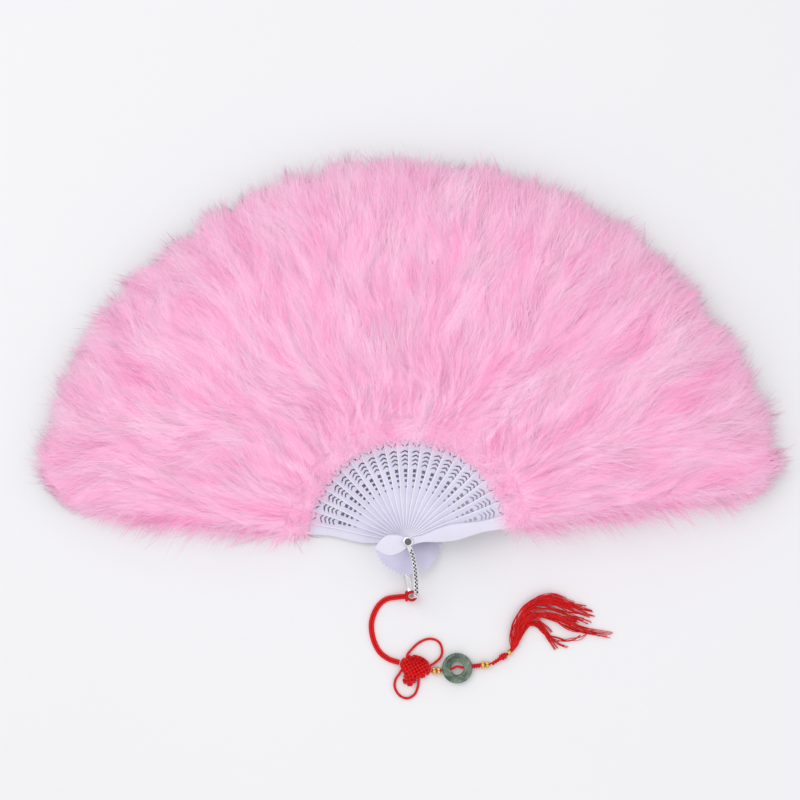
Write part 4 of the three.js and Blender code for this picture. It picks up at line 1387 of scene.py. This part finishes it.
class FAN_OT_down(bpy.types.Operator):
    """Grows the down on every rib: a soft body, a ruffled cover and thousands of barbs"""

    bl_idname = "fan.down"
    bl_label = "Down"

    def execute(self, context):
        settings = context.scene.fan_down
        down = made_once(down_finish, "marabou down", settings)
        self.settings = settings
        for i, (name, spread) in enumerate(FIELDS.items()):
            setattr(self, name, waves(settings.seed + i, *spread))
        count = settings.barbs // 2
        barbs = copies(rod(3, BARB_RINGS, pointed=True), count)
        each = len(barbs.vertices) // count
        along = read_points(barbs)[:each, 2]
        for k in range(LAST + 1):
            rng = np.random.default_rng(100 * settings.seed + k)
            kind = "guard" if is_guard(k) else "inner"
            mesh, tone, facing = self.sheaf(k, barbs, count, rng, DEEP_SHARES[kind])
            core, cover = self.soft_body(k), self.cover(k)
            places = read_points(cover)
            edge = len(core.vertices)
            start = edge + len(cover.vertices)
            # The cover's tones carry painted shade in its hollows and painted light on its crests.
            tones = self.tone(places[:, 0], places[:, 1])
            whole = together([core, cover, mesh], "down")
            write_values(whole, "tone", [*np.full(edge, 0.5), *tones, *np.repeat(tone, each)])
            write_values(whole, "along", [*np.full(start, 0.45), *np.tile(along, count)])
            show(f"{plume_name(k)}_down", whole, body_of(k), down, "marabou_down", plume_name(k))
            own = self.own_normals(whole)
            faces_up = own[edge:start, 2:] > 0
            own[edge:start] = np.where(faces_up, self.facing(places[:, 0], places[:, 1]),
                                       own[edge:start])
            own[start:] += self.weighted(facing, each)
            whole.normals_split_custom_set_from_vertices(unit(own))

            mesh, tone, facing = self.sheaf(k, barbs, count, rng, LIGHT_SHARES[kind])
            write_values(mesh, "tone", np.repeat(tone, each))
            write_values(mesh, "along", np.tile(along, count))
            piece = show(f"{plume_name(k)}_barbs", mesh, body_of(k), down, "marabou_down")
            own = self.own_normals(mesh) + self.weighted(facing, each)
            mesh.normals_split_custom_set_from_vertices(unit(own))
            piece.visible_shadow = piece.visible_diffuse = False
        return {"FINISHED"}

    def sheaf(self, k, barbs, *growth):
        """A plume's barbs as a mesh, with their tones and the ways that they face."""
        lines, radii, tone, facing = self.grow(k, *growth)
        return bend(barbs.copy(), lines, radii, facing, BARB_FLATNESS), tone, facing

    def weighted(self, facing, each):
        """What the way that each barb faces adds to its normals, nothing on one that faces down."""
        return np.repeat(FACING_WEIGHT * facing * (facing[:, 2:] > 0), each, axis=0)

    def own_normals(self, mesh):
        normals = np.zeros(3 * len(mesh.vertices), np.float32)
        mesh.vertex_normals.foreach_get("vector", normals)
        return normals.reshape(-1, 3)

    def surface(self, x, y):
        """Height of the ruffled cover over a place on the floor, seamless over all the plumes."""
        reach, turn, rib, past = fan_place(x, y)
        k = np.clip(rib, 0, LAST)
        height = plume_height(k)
        crest = height * np.interp(plume_share(reach), STATIONS, TOP_SHARES) - COVER_DEPTH
        crest = crest + 1.3 * self.swell(x, y) + 0.7 * drawn_out(self.furrow, turn, reach)
        sticks = STICK_BASE + LAYER_PITCH * k + STICK_THICKNESS + CLEARANCE + STICK_ROOM
        crest = rolled(crest, sticks, (reach - COVER_INNER) / INNER_ROLL)
        crest = rolled(crest, 0.3 * height, (COVER_RADIUS - rim_reach(x, y)) / OUTER_ROLL)
        spread = np.where(rib < 0, plume_reach(0, reach, 1), plume_reach(LAST, reach, -1))
        return rolled(crest, 2, 1 - np.maximum(past, 0) / spread)

    def facing(self, x, y):
        """The way that the cover faces at a place."""
        slopes = [(self.surface(x - a, y - b) - self.surface(x + a, y + b)) / (2 * FACING_STEP)
                  for a, b in ((FACING_STEP, 0), (0, FACING_STEP))]
        return unit(np.stack([*slopes, np.full_like(x, 1.4)], axis=1))

    def tone(self, x, y):
        """How pale the down is at a place, about 0.5: real streaks of tone, with painted shade that
        deepens the hollows of the cover's swells and furrows and lightens their crests.
        """
        reach, turn = fan_place(x, y)[:2]
        streak, furrow = (drawn_out(field, turn, reach) for field in (self.streak, self.furrow))
        # The swell and furrow terms follow the cover's height: painted shade in its hollows,
        # painted light on its crests.
        return np.clip(0.5 + 0.15 * streak + 0.08 * furrow + 0.07 * self.swell(x, y), 0, 1)

    def cover(self, k):
        """A thin closed skin under the barbs, ruffled in long soft folds."""
        sides, rings = COVER_SIDES, COVER_RINGS
        mesh = rod(sides, rings)
        half = sides // 2
        points = read_points(mesh)
        ring = np.rint(points[:, 2] * (rings - 1)) / (rings - 1)
        turn = np.rint(np.arctan2(points[:, 1], points[:, 0]) / (2 * math.pi) * sides) % sides
        below = turn >= half
        across = np.where(below, sides - 1 - turn, turn) / (half - 1) * 2 - 1
        angle = arm_angle(k)
        ends, is_open = COVER_RADIUS - 0.2, np.full(len(points), False)
        if is_guard(k):
            outwards = across if k == 0 else -across
            across = np.sign(across) * (1 - (1 - np.abs(across)) ** 1.7)
            is_open = outwards > 0
            past = np.where(is_open, plume_reach(k, 235, 1 if k == 0 else -1),
                            plume_reach(1, 235, 1)) * outwards
            ends = ends - corner_cut(k == 0, past)
        start = COVER_INNER + 0.1
        along = start + (ends - start) * ring
        reach = reach_beside(k, along, across)
        beyond = across * np.where(is_open, 1.01 * reach, reach + 0.2)
        frayed = np.where(is_open, 0.9 + 0.08 * self.lobe(along, 0 * along), 1)
        x, y = along_arm(angle, along, beyond)
        z = self.surface(x, y) - COVER_THICKNESS * below
        x, y = along_arm(angle, along, frayed * beyond)
        write_points(mesh, np.stack([x, y, z], axis=1))
        bm = opened(mesh)
        bmesh.ops.recalc_face_normals(bm, faces=bm.faces[:])
        return mesh_of(bm, "cover")

    def soft_body(self, k):
        """The solid plume, merged and drawn in a little."""
        bm = opened(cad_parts[plume_name(k)].data)
        bmesh.ops.scale(bm, verts=bm.verts[:], vec=(1 / MM,) * 3)
        bmesh.ops.rotate(bm, verts=bm.verts[:], cent=(0, 0, 0),
                         matrix=Matrix.Rotation(-arm_angle(k), 3, "Z"))
        bmesh.ops.remove_doubles(bm, verts=bm.verts[:], dist=1e-3)
        for v in bm.verts:
            if v.co.z > stick_ceiling(k):
                v.co.z = max(stick_ceiling(k), v.co.z - CORE_DEPTH)
            elif v.co.z < 0.5:
                v.co.z = 1.4
            if v.co.x > BODY_END:
                v.co.x = BODY_END + BODY_PAST_END * (v.co.x - BODY_END)
            if is_guard(k) and (v.co.y > 3) == (k == 0) and abs(v.co.y) > 3:
                reach = max(plume_reach(k, v.co.x, 1 if k == 0 else -1) - 6, 1.5)
                v.co.y = math.copysign(min(abs(v.co.y), reach), v.co.y)
        bmesh.ops.rotate(bm, verts=bm.verts[:], cent=(0, 0, 0),
                         matrix=Matrix.Rotation(arm_angle(k), 3, "Z"))
        core = mesh_of(bm, "soft body")
        points = read_points(core)
        cover = self.surface(points[:, 0], points[:, 1]) - 2.5
        points[:, 2] = np.where(points[:, 2] > 3, np.minimum(points[:, 2], cover), points[:, 2])
        write_points(core, points)
        return core

    def grow(self, k, count, rng, shares):
        """The barbs' lines, radii, tones and the ways that they face."""
        kinds = rng.choice(list(shares), count, p=list(shares.values()))
        on = {kind: kinds == kind for kind in BARB_KINDS}
        under = on["under"] | on["under_lip"]
        outer = on["outer"] = on["rim"] | on["hem"]
        upper = ~(under | outer)
        edge = outer | on["tip"] | on["side"]
        guard_side = 1 if k == 0 else -1

        def pick(usual, **others):
            """The usual values, with other ones for the kinds that are named."""
            for name, values in others.items():
                usual = np.where(on[name], values, usual)
            return usual

        # Roots
        along = pick(PLUME_INNER + 5 + 172 * rng.random(count) ** 0.86,
                     tip=rng.uniform(200, 243, count), rim=rng.uniform(230, 239, count),
                     lip=PLUME_INNER + 1.5 + 14 * rng.random(count),
                     under_lip=PLUME_INNER + 2 + 9 * rng.random(count),
                     wisp=rng.uniform(110, 240, count))
        across = rng.uniform(-1, 1, count)
        across = pick(np.where(under, 0.75 * across, across),
                      side=guard_side * rng.uniform(0.1, 0.95, count),
                      hem=guard_side * (1 - 0.4 * rng.random(count) ** 1.5))
        beyond = across * reach_beside(k, along, across)
        if is_guard(k):
            along = np.minimum(along, 243 - corner_cut(k == 0, guard_side * beyond))
        x, y = along_arm(arm_angle(k), along, beyond)
        crest = self.surface(x, y)
        z = pick(np.where(upper, crest - 0.4, 1.2),
                 outer=1 + rng.uniform(0, 0.9, count) * (crest - 1), hem=crest - 0.4,
                 under_lip=rng.uniform(0.1, 0.7, count) * (stick_bottom(k - 1) - CLEARANCE))
        roots = np.stack([x, y, z], axis=1)

        # Directions at the root and at the tip
        up = np.array((0, 0, 1.0))
        outward = unit(roots * (1, 1, 0))
        sideways = np.stack([-outward[:, 1], outward[:, 0], np.zeros(count)], axis=1)
        lean = 0.42 * self.lean(x, y) + 0.16 * self.ruffle(x, y) + rng.normal(0, 0.13, count)
        around = rng.choice([-1, 1], count) * rng.uniform(0.6, 3.1, count)
        lean = np.where(on["lip"] | on["under_lip"], around, lean)
        aside = guard_side * rng.uniform(0.1, 1.2, count)
        lean = np.where(on["side"] | on["hem"], aside, lean)
        lean = np.where(on["tip"] | on["rim"], 0.7 * lean + rng.normal(0, 0.28, count), lean)
        level = np.cos(lean)[:, None] * outward + np.sin(lean)[:, None] * sideways
        lift = pick(np.where(upper, rng.uniform(0.04, 0.26, count), -0.04),
                    outer=rng.uniform(-0.25, 0.25, count), wisp=rng.uniform(0.2, 0.6, count))
        droop = pick(np.where(upper, rng.uniform(-0.2, 0, count), rng.uniform(-0.08, 0.05, count)),
                     lip=rng.uniform(-0.5, -0.1, count), hem=rng.uniform(-0.8, -0.1, count))
        first = unit(level + lift[:, None] * up)
        last = unit(level + rng.normal(0, 0.25, count)[:, None] * sideways + droop[:, None] * up)

        # Lengths
        length = self.settings.length / MM * rng.uniform(0.7, 1.3, count)
        length = np.where(edge, 0.64 * length, length)
        length = np.where(on["hem"], 0.62 * length, length)
        short = np.where(rng.random(count) < 0.2, 0.46, 0.3)
        length = np.where(on["lip"] | on["under_lip"], short * length, length)
        t = np.linspace(0, 1, BARB_RINGS)[None, :, None]
        lines = roots[:, None] + length[:, None, None] * (
            first[:, None] * (t - t * t / 2) + last[:, None] * (t * t / 2))
        curl = 0.06 * length * rng.normal(0, 1, count)
        lines += curl[:, None, None] * np.sin(1.4 * math.pi * t) * sideways[:, None]

        # Barbs end at the lobes of the rim
        rim = 249 + 4.5 * self.lobe(254 * np.arctan2(y, x), 0 * x) + rng.normal(0, 3, count)
        rim = rim + 13 * rng.random(count) ** 4
        rim = np.minimum(rim + np.where(on["wisp"], rng.uniform(0, 8, count), 0), BARB_LIMIT)
        near, far = rim_reach(x, y), rim_reach(lines[:, -1, 0], lines[:, -1, 1])
        share = np.clip((rim - near) / np.maximum(far - near, 0.1), 0.25, 1)
        share = np.where(far > rim, share, 1)[:, None, None]
        lines = roots[:, None] + share * (lines - roots[:, None])

        # Tufts: barbs close up on the nearest leader towards their tips
        ends = on["tip"] | on["rim"]
        for among, tufts, pull in ((ends, 7, 0.42), (~on["wisp"], count // 12, 0.38)):
            leaders = rng.choice(np.flatnonzero(among), max(4, tufts), replace=False)
            tree = KDTree(len(leaders))
            for i, leader in enumerate(leaders):
                tree.insert(roots[leader], i)
            tree.balance()
            nearest = leaders[np.array([tree.find(root)[1] for root in roots])]
            close = pull + rng.uniform(-0.18, 0.18, count)
            joins = among & (kinds == kinds[nearest])
            close = np.where(joins, close, 0)[:, None, None] * t**1.6
            lines += close * (lines[nearest] - lines)

        # Barbs stay over the floor and the cover, and clear of the sticks
        spots = lines.reshape(-1, 3)
        reach = np.hypot(spots[:, 0], spots[:, 1]).reshape(count, -1)
        over = self.surface(spots[:, 0], spots[:, 1]).reshape(count, -1) + 0.2
        floor = np.where(upper[:, None] & (reach > COVER_INNER) & (reach < 240), over, 0.3)
        over_sticks = upper[:, None] & (reach < BLADE_LENGTH)
        floor = np.where(over_sticks, np.maximum(floor, stick_ceiling(k)), floor)
        floor = floor + rng.uniform(0, 0.5, count)[:, None]
        ceiling = np.where(on["under_lip"], stick_bottom(k - 1) - 2 * CLEARANCE, 60)[:, None]
        lines[..., 2] = np.minimum(np.maximum(lines[..., 2], floor), ceiling)

        radius = self.settings.radius / MM * rng.uniform(0.75, 1.2, count)
        radius = np.where(on["wisp"], 0.75 * radius, radius)[:, None] * (0.9, 1, 0.75, 0.3)
        tuft = rng.normal(0, 0.2, count)[nearest]
        # Each barb takes the painted shade of the cover's hollows under it, plus a random tone for
        # its tuft.
        tone = self.tone(x, y) + tuft + rng.normal(0, 0.08, count)
        facing = self.facing(x, y) + 0.15 * outward
        facing += 0.8 * (on["lip"] | on["hem"] | on["side"])[:, None] * up
        facing = np.where(under[:, None], 0.2 * outward - up, facing)
        facing = np.where(outer[:, None], 0.4 * level + up, facing)
        return lines, radius, np.clip(tone, 0, 1), unit(facing)


class FAN_PT_panel(bpy.types.Panel):
    """Lists the fan's pieces and their settings"""

    bl_idname = "FAN_PT_panel"
    bl_label = "Folding Down Fan"
    bl_space_type = "VIEW_3D"
    bl_region_type = "UI"
    bl_category = "Fan"

    def draw(self, context):
        for title, group, operators in PANEL_ROWS:
            box = self.layout.box()
            box.label(text=title)
            settings = getattr(context.scene, group)
            for name in settings.__annotations__:
                box.prop(settings, name)
            for operator in operators:
                box.operator(operator.bl_idname)


PANEL_ROWS = (
    ("Stage", "fan_stage", (FAN_OT_stage,)),
    ("Tassel", "fan_tassel", (FAN_OT_cord, FAN_OT_knot, FAN_OT_chain, FAN_OT_binding,
                              FAN_OT_tassel)),
    ("Metal", "fan_metal", (FAN_OT_bail, FAN_OT_rivet)),
    ("Plastic", "fan_plastic", (FAN_OT_sticks,)),
    ("Down", "fan_down", (FAN_OT_ribbon, FAN_OT_down)),
)
SETTINGS = {
    "fan_stage": FanStageSettings, "fan_tassel": FanTasselSettings,
    "fan_metal": FanMetalSettings, "fan_plastic": FanPlasticSettings,
    "fan_down": FanDownSettings,
}
OPERATORS = [operator for _, _, operators in PANEL_ROWS for operator in operators]


def register():
    for kind in (*SETTINGS.values(), *OPERATORS, FAN_PT_panel):
        bpy.utils.register_class(kind)
    for name, kind in SETTINGS.items():
        setattr(bpy.types.Scene, name, bpy.props.PointerProperty(type=kind))


def unregister():
    for name in SETTINGS:
        delattr(bpy.types.Scene, name)
    for kind in (FAN_PT_panel, *reversed(OPERATORS), *reversed(SETTINGS.values())):
        bpy.utils.unregister_class(kind)


def main():
    register()
    for operator in OPERATORS:
        space, name = operator.bl_idname.split(".")
        getattr(getattr(bpy.ops, space), name)()


if __name__ == "__main__":
    main()
